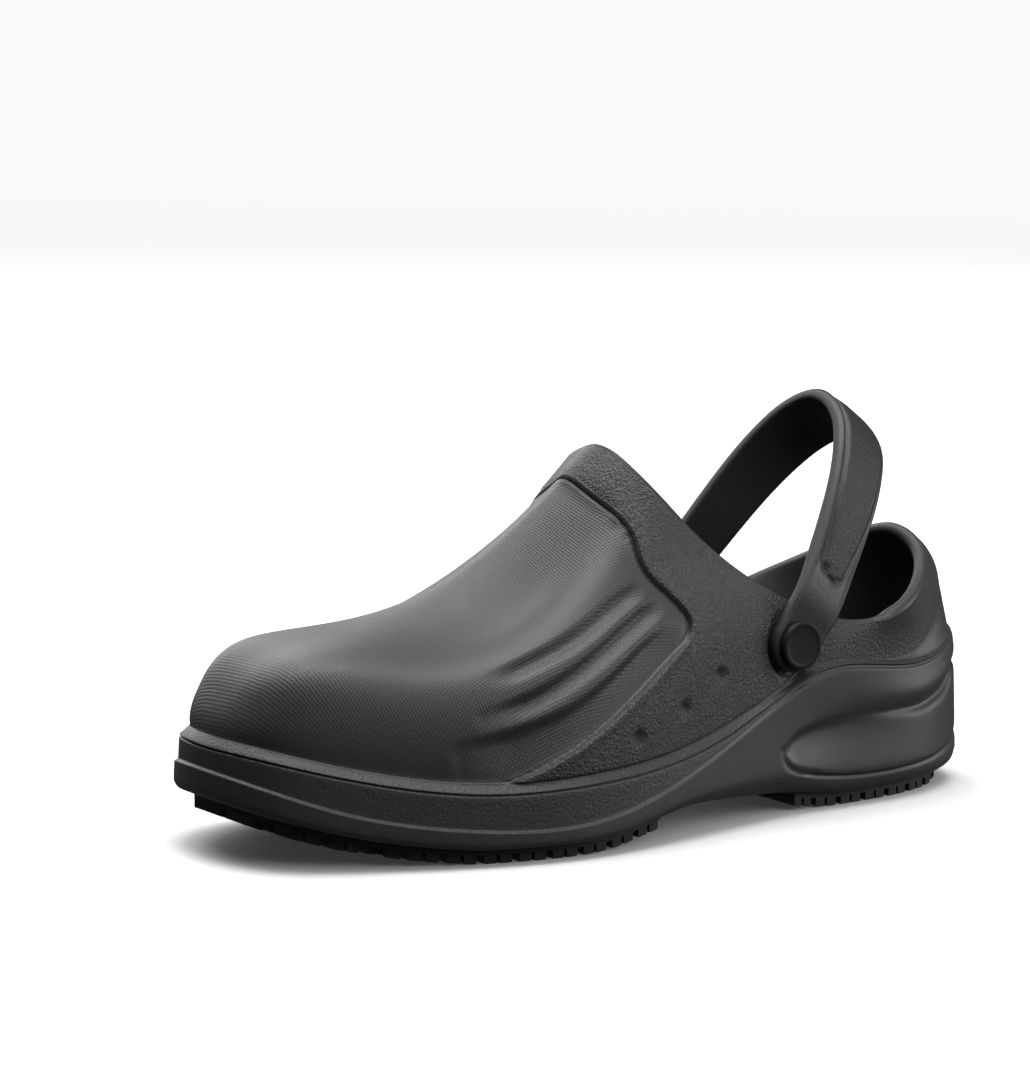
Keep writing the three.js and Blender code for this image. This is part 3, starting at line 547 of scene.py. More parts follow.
side_profile = rows_along_creases(side_profile)
side_profile[..., 0] -= heel_relief(side_profile[..., 1])
side_rows = np.array([inset_point(turns, row[:, 0], row[:, 1]) for row in side_profile])
print("Deepest heel relief, mm:", heel_relief(side_profile[..., 1]).min().round(2))

# %% [markdown]
# The wall's rows run from the ledge to the rim. The rim is a half round between the
# outer and the inner wall. Inside, the rows go back down the wall and across the
# footbed to the middle line, as the outer rows close under the sole.

# %% Wall rows and normals
WALL_ROWS = 70
wall_shares = np.linspace(0, 1, WALL_ROWS + 1)
wall_rows = wall_grid(turns, wall_shares)
outer_rows = np.concatenate([side_rows, wall_rows[1:]])
FIRST_WALL_ROW = len(side_rows) - 1


def grid_normals(rows):
    """Outward normals of rows that run round the shoe, heel to heel."""
    ring = np.concatenate([rows[:, -2:-1], rows, rows[:, 1:2]], 1)
    around = ring[:, 2:] - ring[:, :-2]
    rise = np.gradient(rows, axis=0)
    normal = np.cross(rise, around)
    return normal / np.maximum(np.linalg.norm(normal, axis=-1, keepdims=True), 1e-9)


wall_normals = grid_normals(wall_rows)
print("Wall normal at the outer ball:", wall_normals[20, np.searchsorted(turns, 0.3)].round(2))

# %% [markdown]
# Pressed details are heights over the smooth skin, in millimetres. Each starts from a
# distance: to the edge of the raised panel seen from the side, to the routes of the
# three grooves in space, or to the middles of the blind holes. A distance turned
# into a height by a smooth function gives a soft trough or ridge.

# %% Raised collar and quarter panel
PANEL_EDGE = np.array([
    # along in shoe lengths, up in collar heights, from the rim down to the ledge
    (0.553, 1.070), (0.545, 0.990), (0.537, 0.910), (0.526, 0.845), (0.520, 0.785),
    (0.521, 0.735), (0.516, 0.695), (0.502, 0.655), (0.487, 0.612), (0.479, 0.570),
    (0.484, 0.538), (0.502, 0.506), (0.524, 0.472), (0.576, 0.393), (0.622, 0.327),
    (0.659, 0.280), (0.700, 0.236), (0.740, 0.200), (0.790, 0.160),
]) * (SHOE_LENGTH, COLLAR_HEIGHT)
panel_route = smooth_route(PANEL_EDGE, 240)
from_side = wall_rows[..., (0, 2)]
edge_distance, edge_along, edge_offset, edge_heading = nearest_on_route(from_side, panel_route)
behind = edge_offset[..., 1] * edge_heading[..., 0] - edge_offset[..., 0] * edge_heading[..., 1]
panel_distance = edge_distance * np.where(behind < 0, 1, -1)
CORNER_SHARE = 0.42
PANEL_SLOPE = (-1.7, 1.3)
EDGE_TROUGH = 0.2
EDGE_RIDGE = 0.45
above_corner = 1 - smooth(CORNER_SHARE - 0.02, CORNER_SHARE + 0.03, edge_along)
panel_height = PANEL_RISE * smooth(*PANEL_SLOPE, panel_distance)
panel_height -= EDGE_TROUGH * above_corner * np.exp(-((panel_distance + 1.4) / 1.0) ** 2)
panel_height += EDGE_RIDGE * (1 - above_corner) * np.exp(-((panel_distance - 0.8) / 1.2) ** 2)
print("Raised share of the wall:", round(float((panel_distance > 0).mean()), 2))

# %% [markdown]
# The three grooves fan out over the outer side. A finger pressed along the clay would
# leave the same trough: steep on the upper flank, easy on the lower one. The third is
# the widest and runs out into the panel's edge. Round is the turn round the shoe and up
# the share of the wall.

# %% Grooves
GROOVES = (
    # route as (round, up), depth, reach of the upper flank, of the lower one, fade at the end
    (((0.313, 0.785), (0.3191, 0.750), (0.3251, 0.688), (0.3300, 0.612), (0.3375, 0.550),
      (0.3456, 0.503), (0.3530, 0.462), (0.3600, 0.432)), 2.2, 3.4, 5.6, 0.85),
    (((0.290, 0.728), (0.2968, 0.677), (0.3030, 0.591), (0.3098, 0.489), (0.3185, 0.407),
      (0.3283, 0.346), (0.3388, 0.303), (0.3540, 0.258)), 2.5, 3.6, 5.8, 0.85),
    (((0.271, 0.605), (0.2775, 0.530), (0.2865, 0.408), (0.2960, 0.314), (0.3075, 0.243),
      (0.3195, 0.204), (0.3320, 0.176), (0.3450, 0.148), (0.3600, 0.118)), 2.5, 4.4, 18.0, 0.75),
)


GROOVE_START = 0.20
GROOVE_END = 0.80


def groove_height(route, depth, upper_reach, lower_reach, end_fade):
    knots = np.linspace(0, 1, len(route))
    places = open_spline(knots, route)(np.linspace(0, 1, 61))
    path = wall_route(places[:, 0], places[:, 1])
    distance, along, offset, heading = nearest_on_route(wall_rows, path)
    across = np.cross(wall_normals, heading)
    across *= np.where(across[..., 2:3] < 0, -1, 1)
    side = np.sum(offset * across, -1)
    lift = np.sqrt(np.maximum(distance ** 2 - side ** 2, 0))
    reach = np.where(side > 0, upper_reach, lower_reach)
    spread = np.hypot(side / reach, lift / upper_reach)
    trough = np.cos(np.clip(spread, 0, 1) * math.pi / 2) ** 2
    fade = smooth(0, GROOVE_START, along) * (1 - smooth(GROOVE_END, 1, along) * end_fade)
    return -depth * trough * fade


pressed = np.zeros(wall_rows.shape[:2])
for groove in GROOVES:
    pressed = np.minimum(pressed, groove_height(*groove))
pressed *= 1 - smooth(-1.2, 0.8, panel_distance)
print("Deepest groove, mm:", round(float(-pressed.min()), 2))

# %% [markdown]
# Three blind holes lie in a slanting row on the panel, where an open clog has vents. They
# don't go through, so no cut is needed: each is a soft pit in the same heights.

# %% Blind holes
DIMPLES = ((0.275, 0.10), (0.251, 0.18), (0.233, 0.29))
DIMPLE_RADIUS = 3.0
DIMPLE_DEPTH = 1.6
dimple_places = wall_route([place for place, _ in DIMPLES], [up for _, up in DIMPLES])
dimple_distance = np.min(np.linalg.norm(wall_rows[:, :, None] - dimple_places, axis=-1), -1)
pressed -= DIMPLE_DEPTH * (1 - smooth(0.30, 1.15, dimple_distance / DIMPLE_RADIUS))
print("Blind holes:", len(DIMPLES))

# %% [markdown]
# The strap's ends lie in flat seats, cut like slots with a round end, and the buttons
# sit on flat bosses inside. Both planes are read off the CAD rivets, so that cap,
# strap and button meet the wall as they do in the solids.

# %% Rivet places in the shoe's own millimetres
STRAP_THICKNESS = 4.0
STRAP_END_WIDTH = 19.0
STRAP_SEAT_LENGTH = 25.0
STRAP_SEAT_MARGIN = 1.3
STRAP_ANGLE = math.radians(54)
CAP_THICKNESS = 2.6
BUTTON_THICKNESS = 1.8
rivet = {}
for side, word in ((1, "lateral"), (-1, "medial")):
    cap_low, cap_high = (np.array(v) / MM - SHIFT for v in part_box("rivet_cap_" + word))
    button_low, button_high = (np.array(v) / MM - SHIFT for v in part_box("rivet_button_" + word))
    crown = abs(cap_high[1]) if side > 0 else abs(cap_low[1])
    boss = abs(button_high[1]) if side > 0 else abs(button_low[1])
    face = crown - CAP_THICKNESS
    rivet[side] = {
        "x": (cap_low[0] + cap_high[0]) / 2, "z": (cap_low[2] + cap_high[2]) / 2,
        "crown": crown, "face": face, "strap_outer": face - SEAT_CLEARANCE,
        "strap_inner": face - SEAT_CLEARANCE - STRAP_THICKNESS,
        "seat": face - 2 * SEAT_CLEARANCE - STRAP_THICKNESS, "boss": boss + SEAT_CLEARANCE,
    }
    print(word, {key: round(float(value), 2) for key, value in rivet[side].items()})


def seat_the_strap(rows):
    """Flattens the wall under each strap end, down to the plane of its seat."""
    for side, place in rivet.items():
        across = rows[..., 0] - place["x"]
        up = rows[..., 2] - place["z"]
        along = -across * math.cos(STRAP_ANGLE) + up * math.sin(STRAP_ANGLE)
        wide = across * math.sin(STRAP_ANGLE) + up * math.cos(STRAP_ANGLE)
        radius = STRAP_END_WIDTH / 2 + STRAP_SEAT_MARGIN
        past = np.maximum(along - STRAP_SEAT_LENGTH, 0)
        away = np.hypot(wide, np.minimum(along, 0)) + past
        soft = blend(1.3, 5.0, smooth(6, 20, along))
        cut = 1 - smooth(0, soft, away - radius + 0.4)
        depth = side * rows[..., 1]
        seated = blend(depth, place["seat"], cut)
        rows[..., 1] = side * np.where(depth > place["seat"], seated, depth)
    return rows


# %% [markdown]
# Now the heights are added along the wall's normals. The top rows of the side follow
# the foot of the wall, so that the raised panel also lifts the ledge under it, and the
# inner corner between ledge and wall is rounded by averaging, as a mould's is.

# %% The dressed outer wall
FOOT_ROWS = 3
dressed_wall = wall_rows + wall_normals * (panel_height + pressed)[..., None]
dressed_wall = seat_the_strap(dressed_wall)
foot_lift = (dressed_wall - wall_rows)[0]
for place, row in enumerate(range(FIRST_WALL_ROW - FOOT_ROWS, FIRST_WALL_ROW), 1):
    side_rows[row] += foot_lift * (1, 1, 0) * (place / (FOOT_ROWS + 1))
outer_rows = np.concatenate([side_rows[:-1], dressed_wall])


def relax(rows, centre, reach, passes):
    """Rounds an inner corner that runs round the shoe, by averaging rows near it."""
    for _ in range(passes):
        near = slice(centre - reach, centre + reach + 1)
        above = rows[centre - reach + 1:centre + reach + 2]
        below = rows[centre - reach - 1:centre + reach]
        rows[near] = 0.5 * rows[near] + 0.25 * (above + below)
    return rows


outer_rows = relax(outer_rows, FIRST_WALL_ROW, 1, 1)
print("Outer rows:", len(outer_rows))

# %% [markdown]
# The rim is a half round of foam between the outer and the inner wall. Inside, the wall
# is plain and meets the footbed in a soft corner. A Solidify modifier could thicken the
# skin, but the real wall is thicker below than at the collar, so it has rows of its own.

# %% Rim, inner wall and footbed
CLOSING_ROWS = 3
RIM_ROWS = 7
INNER_ROWS = 10
RIM_ROUND = 0.42
inner_rim = (wall_rows + wall_normals * -COLLAR_WALL)[-1]
outer_rim = dressed_wall[-1]
rim_middle = (outer_rim + inner_rim) / 2
rim_half = (outer_rim - inner_rim) / 2
rim_rise = dressed_wall[-1] - dressed_wall[-3]
rim_rise /= np.linalg.norm(rim_rise, axis=-1, keepdims=True)
rim_reach = np.linalg.norm(rim_half, axis=-1, keepdims=True) * 2 * RIM_ROUND
rim_rows = []
for k in range(1, RIM_ROWS + 1):
    angle = math.pi * k / (RIM_ROWS + 1)
    rim_rows.append(rim_middle + rim_half * math.cos(angle) + rim_rise * rim_reach * math.sin(angle))
inner_shares = np.linspace(1, 0.10, INNER_ROWS)
inner_base = wall_grid(turns, inner_shares[::-1])[::-1]
inner_normals = -grid_normals(inner_base)
inner_wall = inner_base - inner_normals * blend(UPPER_WALL, COLLAR_WALL, inner_shares ** 4)[:, None, None]
deep_ring = inset_point(turns, LEDGE_INSET + UPPER_WALL, 0.0)
deep_ring[:, 2] = blend(footbed_at(deep_ring[:, 0]), ledge, 0.6)
bed_ring = inset_point(turns, BED_INSET, footbed_at)
corner_rows = np.array([blend(deep_ring, bed_ring, share) for share in (0.0, 0.45, 0.8)])
print("Inner rows:", len(inner_wall) + len(corner_rows))


def close_to_middle(ring, steps):
    """Rows from a ring to the shoe's middle line, where the two sides meet."""
    middle_line = (ring + ring[::-1]) / 2
    return np.array([blend(ring, middle_line, k / steps) for k in range(1, steps + 1)])


body_rows = np.concatenate([
    close_to_middle(outer_rows[0], CLOSING_ROWS)[::-1],
    outer_rows,
    np.array(rim_rows),
    inner_wall,
    corner_rows,
    bed_ring[None],
    close_to_middle(bed_ring, CLOSING_ROWS),
])
print("Rows in all:", len(body_rows), "triangles:", 2 * (len(body_rows) - 1) * (len(turns) - 1))

# %% [markdown]
# The vamp carries a woven grid that the mould gives it. It looks like cloth laid over
# the toe, so it is laid out the way a cutter would: the curved wall is spread flat
# with springs that keep its real lengths, and the flat places become the weave's
# own coordinates. The threads then keep their pitch over the toe and the sides.

# %% Weave laid flat
COARSE_COLUMN = 7
COARSE_ROW = 4
LAY_PASSES = 700
weave_columns = np.flatnonzero((turns > 0.20) & (turns < 0.80))[::COARSE_COLUMN]
weave_rows = np.arange(0, WALL_ROWS + 1, COARSE_ROW)
weave_rows[-1] = WALL_ROWS


def lay_flat(points, outward):
    """Spreads a curved grid of points onto a plane, keeping its real lengths."""
    drop = points[-1:, :, 2:3] - points[:, :, 2:3]
    flat = points[..., :2] + outward * drop * 0.8
    links = [
        (np.s_[:-1, :], np.s_[1:, :]), (np.s_[:, :-1], np.s_[:, 1:]),
        (np.s_[:-1, :-1], np.s_[1:, 1:]), (np.s_[:-1, 1:], np.s_[1:, :-1]),
    ]
    lengths = [np.linalg.norm(points[b] - points[a], axis=-1) for a, b in links]
    for _ in range(LAY_PASSES):
        shift = np.zeros_like(flat)
        for (a, b), length in zip(links, lengths):
            span = flat[b] - flat[a]
            now = np.linalg.norm(span, axis=-1)
            pull = span * ((now - length) / np.maximum(now, 1e-6))[..., None] * 0.12
            shift[a] += pull
            shift[b] -= pull
        flat += shift
    return flat


weave_outward = outline_at(turns[weave_columns])[1]
weave_flat = lay_flat(wall_rows[np.ix_(weave_rows, weave_columns)], weave_outward)
column_numbers = np.arange(len(turns))
weave_place = np.empty(wall_rows.shape[:2] + (2,))
for axis in range(2):
    by_row = np.array([np.interp(column_numbers, weave_columns, row) for row in weave_flat[..., axis]])
    for column in column_numbers:
        weave_place[:, column, axis] = np.interp(np.arange(WALL_ROWS + 1), weave_rows, by_row[:, column])
print("Weave spread, mm:", np.ptp(weave_flat.reshape(-1, 2), axis=0).round(0))

# %% [markdown]
# The mould has three textures with clear borders. Painted masks would need an image, so
# each border is written as a soft step of a distance and stored on the mesh as an
# attribute. The finish reads it by name.

# %% Where each texture lies
SKIN_ROWS = len(body_rows)
FIRST_OUTER = CLOSING_ROWS
LEDGE_ROW = FIRST_OUTER + FIRST_WALL_ROW
RIM_ROW = LEDGE_ROW + WALL_ROWS
wall_part = np.s_[LEDGE_ROW:RIM_ROW + 1]


def everywhere(value):
    return np.full((SKIN_ROWS, len(turns)), float(value))


skin = {label: everywhere(0) for label in ("weave", "pebble", "hatch", "inside", "edge_line")}
skin["edge_distance"] = everywhere(9)
skin["weave_u"] = everywhere(0)
skin["weave_v"] = everywhere(0)
skin["weave"][wall_part] = 1 - smooth(-1.6, -0.6, panel_distance)
skin["pebble"][wall_part] = smooth(-0.6, 0.6, panel_distance)
# edge_distance and edge_line place the groove along the panel's edge, which the finish presses in and also
# darkens as painted shade.
skin["edge_distance"][wall_part] = np.clip(panel_distance, -9, 9)
skin["edge_line"][wall_part] = above_corner
skin["weave_u"][wall_part] = weave_place[..., 0]
skin["weave_v"][wall_part] = weave_place[..., 1]
outer_heights = body_rows[FIRST_OUTER:LEDGE_ROW, :, 2]
UPPER_BAND_PEBBLE = 0.4
LEDGE_WEAVE = 0.35
HEEL_PEBBLE = 0.35
past_waist = smooth(0.20, 0.30, np.minimum(turns, 1 - turns))
skin["pebble"][FIRST_OUTER:LEDGE_ROW] = smooth(-0.5, 0.5, outer_heights - line) * UPPER_BAND_PEBBLE
skin["hatch"][FIRST_OUTER:LEDGE_ROW] = smooth(0.5, -0.5, outer_heights - line) * past_waist
outward = outline_at(turns)[1]
for row in range(LEDGE_ROW - FOOT_ROWS, LEDGE_ROW):
    away = np.linalg.norm(body_rows[row] - body_rows[LEDGE_ROW], axis=-1)
    skin["weave"][row] = skin["weave"][LEDGE_ROW] * LEDGE_WEAVE
    skin["pebble"][row] *= 1 - skin["weave"][LEDGE_ROW]
    skin["weave_u"][row] = skin["weave_u"][LEDGE_ROW] + outward[:, 0] * away
    skin["weave_v"][row] = skin["weave_v"][LEDGE_ROW] + outward[:, 1] * away
heel_calm = smooth(45, 85, body_rows[..., 0])
skin["pebble"] *= blend(HEEL_PEBBLE, 1.0, heel_calm)
# The inside mask makes the inner wall rougher and darkens its colour as painted shade.
skin["inside"][RIM_ROW + 3:] = 1
print("Attributes:", ", ".join(skin))

# %% [markdown]
# One grid is made and its vertices are carried to the rows. The meeting edges at the
# heel and along the middle lines are merged, so that the skin is closed. Subdivision
# isn't needed, because the grid is already as fine as the details.

# %% The body's mesh


def wrap_grid(name, rows, values=None):
    """One bmesh grid wrapped onto rows of places, its meeting edges merged."""
    up_count, round_count = rows.shape[:2]
    bm = bmesh.new()
    bmesh.ops.create_grid(bm, x_segments=round_count - 1, y_segments=up_count - 1, size=1)
    mesh = bpy.data.meshes.new(name)
    bm.to_mesh(mesh)
    flat = np.empty(len(mesh.vertices) * 3)
    mesh.vertices.foreach_get("co", flat)
    flat = flat.reshape(-1, 3)
    column = np.rint((flat[:, 0] + 1) / 2 * (round_count - 1)).astype(int)
    row = np.rint((flat[:, 1] + 1) / 2 * (up_count - 1)).astype(int)
    mesh.vertices.foreach_set("co", to_frame(rows[row, column]).ravel())
    for label, value in (values or {}).items():
        attribute = mesh.attributes.new(label, "FLOAT", "POINT")
        attribute.data.foreach_set("value", value[row, column].astype(np.float32))
    bm.clear()
    bm.from_mesh(mesh)
    bmesh.ops.remove_doubles(bm, verts=bm.verts, dist=2e-6)
    bmesh.ops.dissolve_degenerate(bm, edges=bm.edges, dist=1e-7)
    bmesh.ops.recalc_face_normals(bm, faces=bm.faces)
    bm.to_mesh(mesh)
    bm.free()
    return finish_piece(mesh)


def finish_piece(mesh):
    mesh.shade_smooth()
    piece = bpy.data.objects.new(mesh.name, mesh)
    bpy.context.scene.collection.objects.link(piece)
    open_edges = sum(1 for count in edge_uses(mesh) if count != 2)
    print(mesh.name, "faces:", len(mesh.polygons), "open edges:", open_edges)
    return piece


def edge_uses(mesh):
    corners = np.empty(len(mesh.loops), int)
    mesh.loops.foreach_get("edge_index", corners)
    return np.bincount(corners, minlength=len(mesh.edges))


clog_body = wrap_grid("clog_body", body_rows, skin)

# %% [markdown]
# Shader maths reads best as plain sums. A small class wraps a socket, so that an
# expression on it adds the Math nodes. Every other node comes from one method of the
# finish, which takes the node's kind, its settings and its inputs.

# %% Sockets that add up


class Wire:
    def __init__(self, finish, socket):
        self.finish = finish
        self.socket = socket

    def math(self, operation, *others):
        return self.finish.math(operation, self, *others)

    def __add__(self, other):
        return self.math("ADD", other)

    def __sub__(self, other):
        return self.math("SUBTRACT", other)

    def __rsub__(self, other):
        return self.finish.math("SUBTRACT", other, self)

    def __mul__(self, other):
        return self.math("MULTIPLY", other)

    __radd__ = __add__
    __rmul__ = __mul__


print("Sums that a wire knows:", [name for name in vars(Wire) if name.startswith("__r")])

# %% Finishes


class Finish:
    """One material, built by expressions. Lengths are in millimetres."""

    def __init__(self, name):
        self.material = bpy.data.materials.new(name)
        self.material.use_nodes = True
        self.tree = self.material.node_tree
        self.shader = self.tree.nodes["Principled BSDF"]
        place = self.node("TexCoord", output="Object")
        self.place = self.node("VectorMath", {"operation": "SCALE"}, {0: place, "Scale": 1 / MM})

    def node(self, kind, settings=None, inputs=None, output=0):
        node = self.tree.nodes.new("ShaderNode" + kind)
        for key, value in (settings or {}).items():
            setattr(node, key, value)
        for key, value in (inputs or {}).items():
            self.feed(node.inputs[key], value)
        return Wire(self, node.outputs[output])

    def feed(self, socket, value):
        if isinstance(value, Wire):
            self.tree.links.new(value.socket, socket)
        else:
            socket.default_value = value

    def math(self, operation, *values):
        return self.node("Math", {"operation": operation}, dict(enumerate(values)))

    def axis(self, name):
        return self.node("SeparateXYZ", None, {0: self.place}, output=name)

    def attribute(self, label):
        return self.node("Attribute", {"attribute_name": label}, output="Fac")

    def noise(self, scale, detail=2.0, distortion=0.0, stretch=(1, 1, 1)):
        place = self.place
        if stretch != (1, 1, 1):
            place = self.node("VectorMath", {"operation": "MULTIPLY"}, {0: place, 1: stretch})
        return self.node("TexNoise", None, {"Vector": place, "Scale": scale, "Detail": detail,
                                            "Distortion": distortion})

    def between(self, value, low, high):
        """Nought below low, one above high, smooth between."""
        settings = {"interpolation_type": "SMOOTHSTEP"}
        return self.node("MapRange", settings, {"Value": value, "From Min": low, "From Max": high})

    def tint(self, factor, dark, light):
        return self.node("Mix", {"data_type": "RGBA"}, {0: factor, 6: dark, 7: light}, output=2)

    def bump(self, height):
        return self.node("Bump", None, {"Strength": 1.0, "Distance": MM, "Height": height})

    def set(self, **values):
        for key, value in values.items():
            self.feed(self.shader.inputs[key.replace("_", " ")], value)


def grey(tone, warm=0.0, cool=0.0):
    return (tone + warm, tone, tone + cool, 1.0)


print("Finish has", len([k for k in vars(Finish) if not k.startswith("_")]), "helpers")

# %% [markdown]
# The foam is a dark charcoal with a satin skin. Three textures come from the mould: the
# woven grid on the vamp, a pebble grain on the collar, quarter and upper band, and a
# fine slanted hatch on the lower band. All are bump over the modelled form, and the
# masks that the mesh carries say where each lies. Painted shade darkens the colour in
# the weave's hollows, in the groove along the panel's edge and inside the shoe.

# %% Foam finish
THREAD_PITCH = 0.95
HATCH_PITCH = 0.9
WEAVE_DEPTH = 0.075
PEBBLE_DEPTH = 0.75
HATCH_DEPTH = 0.16
GAP_DEPTH = 0.65


def threads(finish, coordinate, pitch):
    return finish.math("ABSOLUTE", finish.math("SINE", coordinate * (math.pi / pitch)))


def foam_finish():
    foam = Finish("charcoal_foam")
    weave = foam.attribute("weave")
    pebble = foam.attribute("pebble")
    hatch = foam.attribute("hatch")
    inside = foam.attribute("inside")
    edge = foam.attribute("edge_distance")
    edge_line = foam.attribute("edge_line")
    grid = threads(foam, foam.attribute("weave_u"), THREAD_PITCH)
    grid = grid * threads(foam, foam.attribute("weave_v"), THREAD_PITCH)
    grain = foam.noise(1.05, 2.0, 0.6) + 0.25 * foam.noise(2.2, 1.0)
    slant = (foam.axis("X") - foam.axis("Y")) * 0.8 + foam.axis("Z") * 0.6
    strokes = threads(foam, slant, HATCH_PITCH) * foam.noise(0.7, 1.0)
    # The groove along the panel's edge is pressed in by the bump and darkened in the colour as painted shade.
    offset = (edge + 1.1) * 2.4
    edge_groove_and_shade = foam.math("EXPONENT", -1.0 * (offset * offset)) * edge_line
    crisp = foam.between(edge, -0.9, 0.8) - foam.between(edge, *PANEL_SLOPE)
    height = grid * weave * WEAVE_DEPTH + grain * pebble * PEBBLE_DEPTH + strokes * hatch * HATCH_DEPTH
    height = height + foam.noise(3.2, 2.0) * 0.02 - edge_groove_and_shade * GAP_DEPTH + crisp * PANEL_RISE
    tone = foam.tint(foam.noise(0.05, 3.0), grey(0.040, 0.0008, 0.0032), grey(0.049, 0.0008, 0.0036))
    # Painted shade: the hollows between the weave's threads are darkened in the colour.
    weave_hollow_shade = weave * (1.0 - grid) * 0.18
    tone = foam.tint(weave_hollow_shade, tone, grey(0.018, 0.0, 0.001))
    # Painted shade: the inside of the shoe is darkened in the colour.
    tone = foam.tint(inside, tone, grey(0.030))
    # Painted shade: the groove along the panel's edge is darkened.
    tone = foam.tint(edge_groove_and_shade * 0.8, tone, grey(0.008))
    foam.set(Base_Color=tone, Roughness=0.38 + 0.10 * foam.noise(0.4, 2.0) + 0.10 * inside,
             Normal=foam.bump(height))
    return foam.material


foam_material = foam_finish()
clog_body.data.materials.append(foam_material)
print("Foam nodes:", len(foam_material.node_tree.nodes))

# %% [markdown]
# The heel strap is a band of the same foam on a bent path. Its outer face has a rim
# along both edges, a narrow groove and a raised panel that starts in a round end above
# each rivet. The band is one grid round its section, and its faces are heights over
# the middle of its thickness, so the edge stays rounded round its ends as well.

# %% Strap path
STRAP_CROWN_WIDTH = 25.0
STRAP_REACH = 83.0
STRAP_EDGE_ROUND = 1.2
STRAP_STATIONS = 220
STRAP_PATH = np.array([
    # up in reaches, out in half spans at the rivets
    (0.00, 1.000), (0.10, 1.000), (0.20, 0.996), (0.34, 0.920), (0.50, 0.825),
    (0.68, 0.695), (0.83, 0.530), (0.94, 0.325), (1.00, 0.000),
])
lateral_leg = STRAP_PATH * (STRAP_REACH, rivet[1]["strap_inner"])
medial_leg = (STRAP_PATH * (STRAP_REACH, -rivet[-1]["strap_inner"]))[-2::-1]
strap_points = np.concatenate([lateral_leg, medial_leg])
strap_knots = np.linspace(0, 1, len(strap_points))
strap_curve = open_spline(strap_knots, strap_points)(np.linspace(0, 1, STRAP_STATIONS + 1))
end_radius = STRAP_END_WIDTH / 2
end_turn = np.linspace(0, math.pi / 2, 12)[:-1]
tail_up = -end_radius * np.cos(end_turn)
strap_up = np.concatenate([tail_up, strap_curve[:, 0], tail_up[::-1]])
strap_y = np.concatenate([np.full(len(tail_up), strap_curve[0, 1]), strap_curve[:, 1],
                          np.full(len(tail_up), strap_curve[-1, 1])])
strap_half = blend(STRAP_END_WIDTH, STRAP_CROWN_WIDTH, (np.clip(strap_up, 0, None) / STRAP_REACH) ** 1.5) / 2
strap_half[strap_up < 0] = np.sqrt(np.maximum(end_radius ** 2 - strap_up[strap_up < 0] ** 2, 0))
travelled = np.concatenate([[0], np.cumsum(np.hypot(np.diff(strap_up), np.diff(strap_y)))]) - end_radius
strap_length = travelled[-1] - end_radius
from_rivet = np.minimum(travelled, strap_length - travelled)
print("Strap length between rivets, mm:", round(float(strap_length), 1))

# %% [markdown]
# On the real strap the front strip is rounded, and a groove parts it from the raised
# panel. The panel starts in a round end with a small pit beside it. All of it is a
# height that depends on the distance to the panel's outline and to the strap's edge.

# %% Strap faces
ACROSS = 44
PANEL_START = 23.8
PANEL_STEP = 0.75
PANEL_CROWN = 0.45
SHALLOW_GROOVE, DEEP_GROOVE = 0.15, 1.25
STRIP_RIDGE = 0.45
RIM_LINE = 0.28
END_RIM = 0.35
PIT = (26.3, 3.1)
PIT_RADIUS = 1.5
PIT_DEPTH = 1.1
SPREAD = math.pi / 2 * 0.92
across_share = np.sin(np.linspace(-1, 1, ACROSS + 1) * SPREAD) / math.sin(SPREAD)
strap_across = strap_half[:, None] * across_share[None]
strap_edge = np.where(
    from_rivet[:, None] < 0,
    end_radius - np.hypot(from_rivet[:, None], strap_across),
    strap_half[:, None] - np.abs(strap_across))
rounding_edge = np.clip(strap_edge, 0, STRAP_EDGE_ROUND)
rounding = np.sqrt(STRAP_EDGE_ROUND ** 2 - (STRAP_EDGE_ROUND - rounding_edge) ** 2) - STRAP_EDGE_ROUND
half_thick = STRAP_THICKNESS / 2 + rounding
widening = smooth(25, 54, from_rivet)[:, None]
front_margin = blend(6.0, 3.5, widening)
back_margin = blend(4.6, 1.9, widening)
panel_middle = (back_margin - front_margin) / 2
panel_half = strap_half[:, None] - (front_margin + back_margin) / 2
panel_across = strap_across - panel_middle
panel_before = np.maximum(PANEL_START + panel_half - from_rivet[:, None], 0)
panel_inside = panel_half - np.hypot(panel_across, panel_before)
front_half = smooth(-2, 2, panel_across)
past_pit = smooth(22, 30, from_rivet)[:, None]
near_end = 1 - smooth(34, 44, from_rivet)[:, None]
strap_relief = PANEL_STEP * smooth(-0.3, 1.5, panel_inside) + PANEL_CROWN * smooth(0.8, 6.0, panel_inside)
groove_depth = blend(SHALLOW_GROOVE, DEEP_GROOVE, front_half) * past_pit
strap_relief -= groove_depth * np.exp(-((panel_inside + 1.0) / 0.85) ** 2)
front_strip = strap_half[:, None] - 1.7 - strap_across
strap_relief += STRIP_RIDGE * np.exp(-(front_strip / 1.1) ** 2) * past_pit
pit_away = np.hypot(from_rivet[:, None] - PIT[0], strap_across - PIT[1])
strap_relief -= PIT_DEPTH * np.exp(-(pit_away / PIT_RADIUS) ** 2)
strap_relief += RIM_LINE * np.exp(-((strap_edge - 1.4) / 0.6) ** 2)
strap_relief += END_RIM * np.exp(-((panel_inside + 0.5) / 0.6) ** 2) * (1 - front_half) * near_end
strap_relief *= smooth(0.0, 1.2, strap_edge)
print("Relief of the strap, mm:", round(float(np.ptp(strap_relief)), 2))

# %% [markdown]
# The strap stands on the two rivets and leans back by its own angle. A curve with a
# bevel would round all edges alike, so the outer and the inner face are placed as rows
# and wrapped by the same grid as the body.

# %% Strap mesh


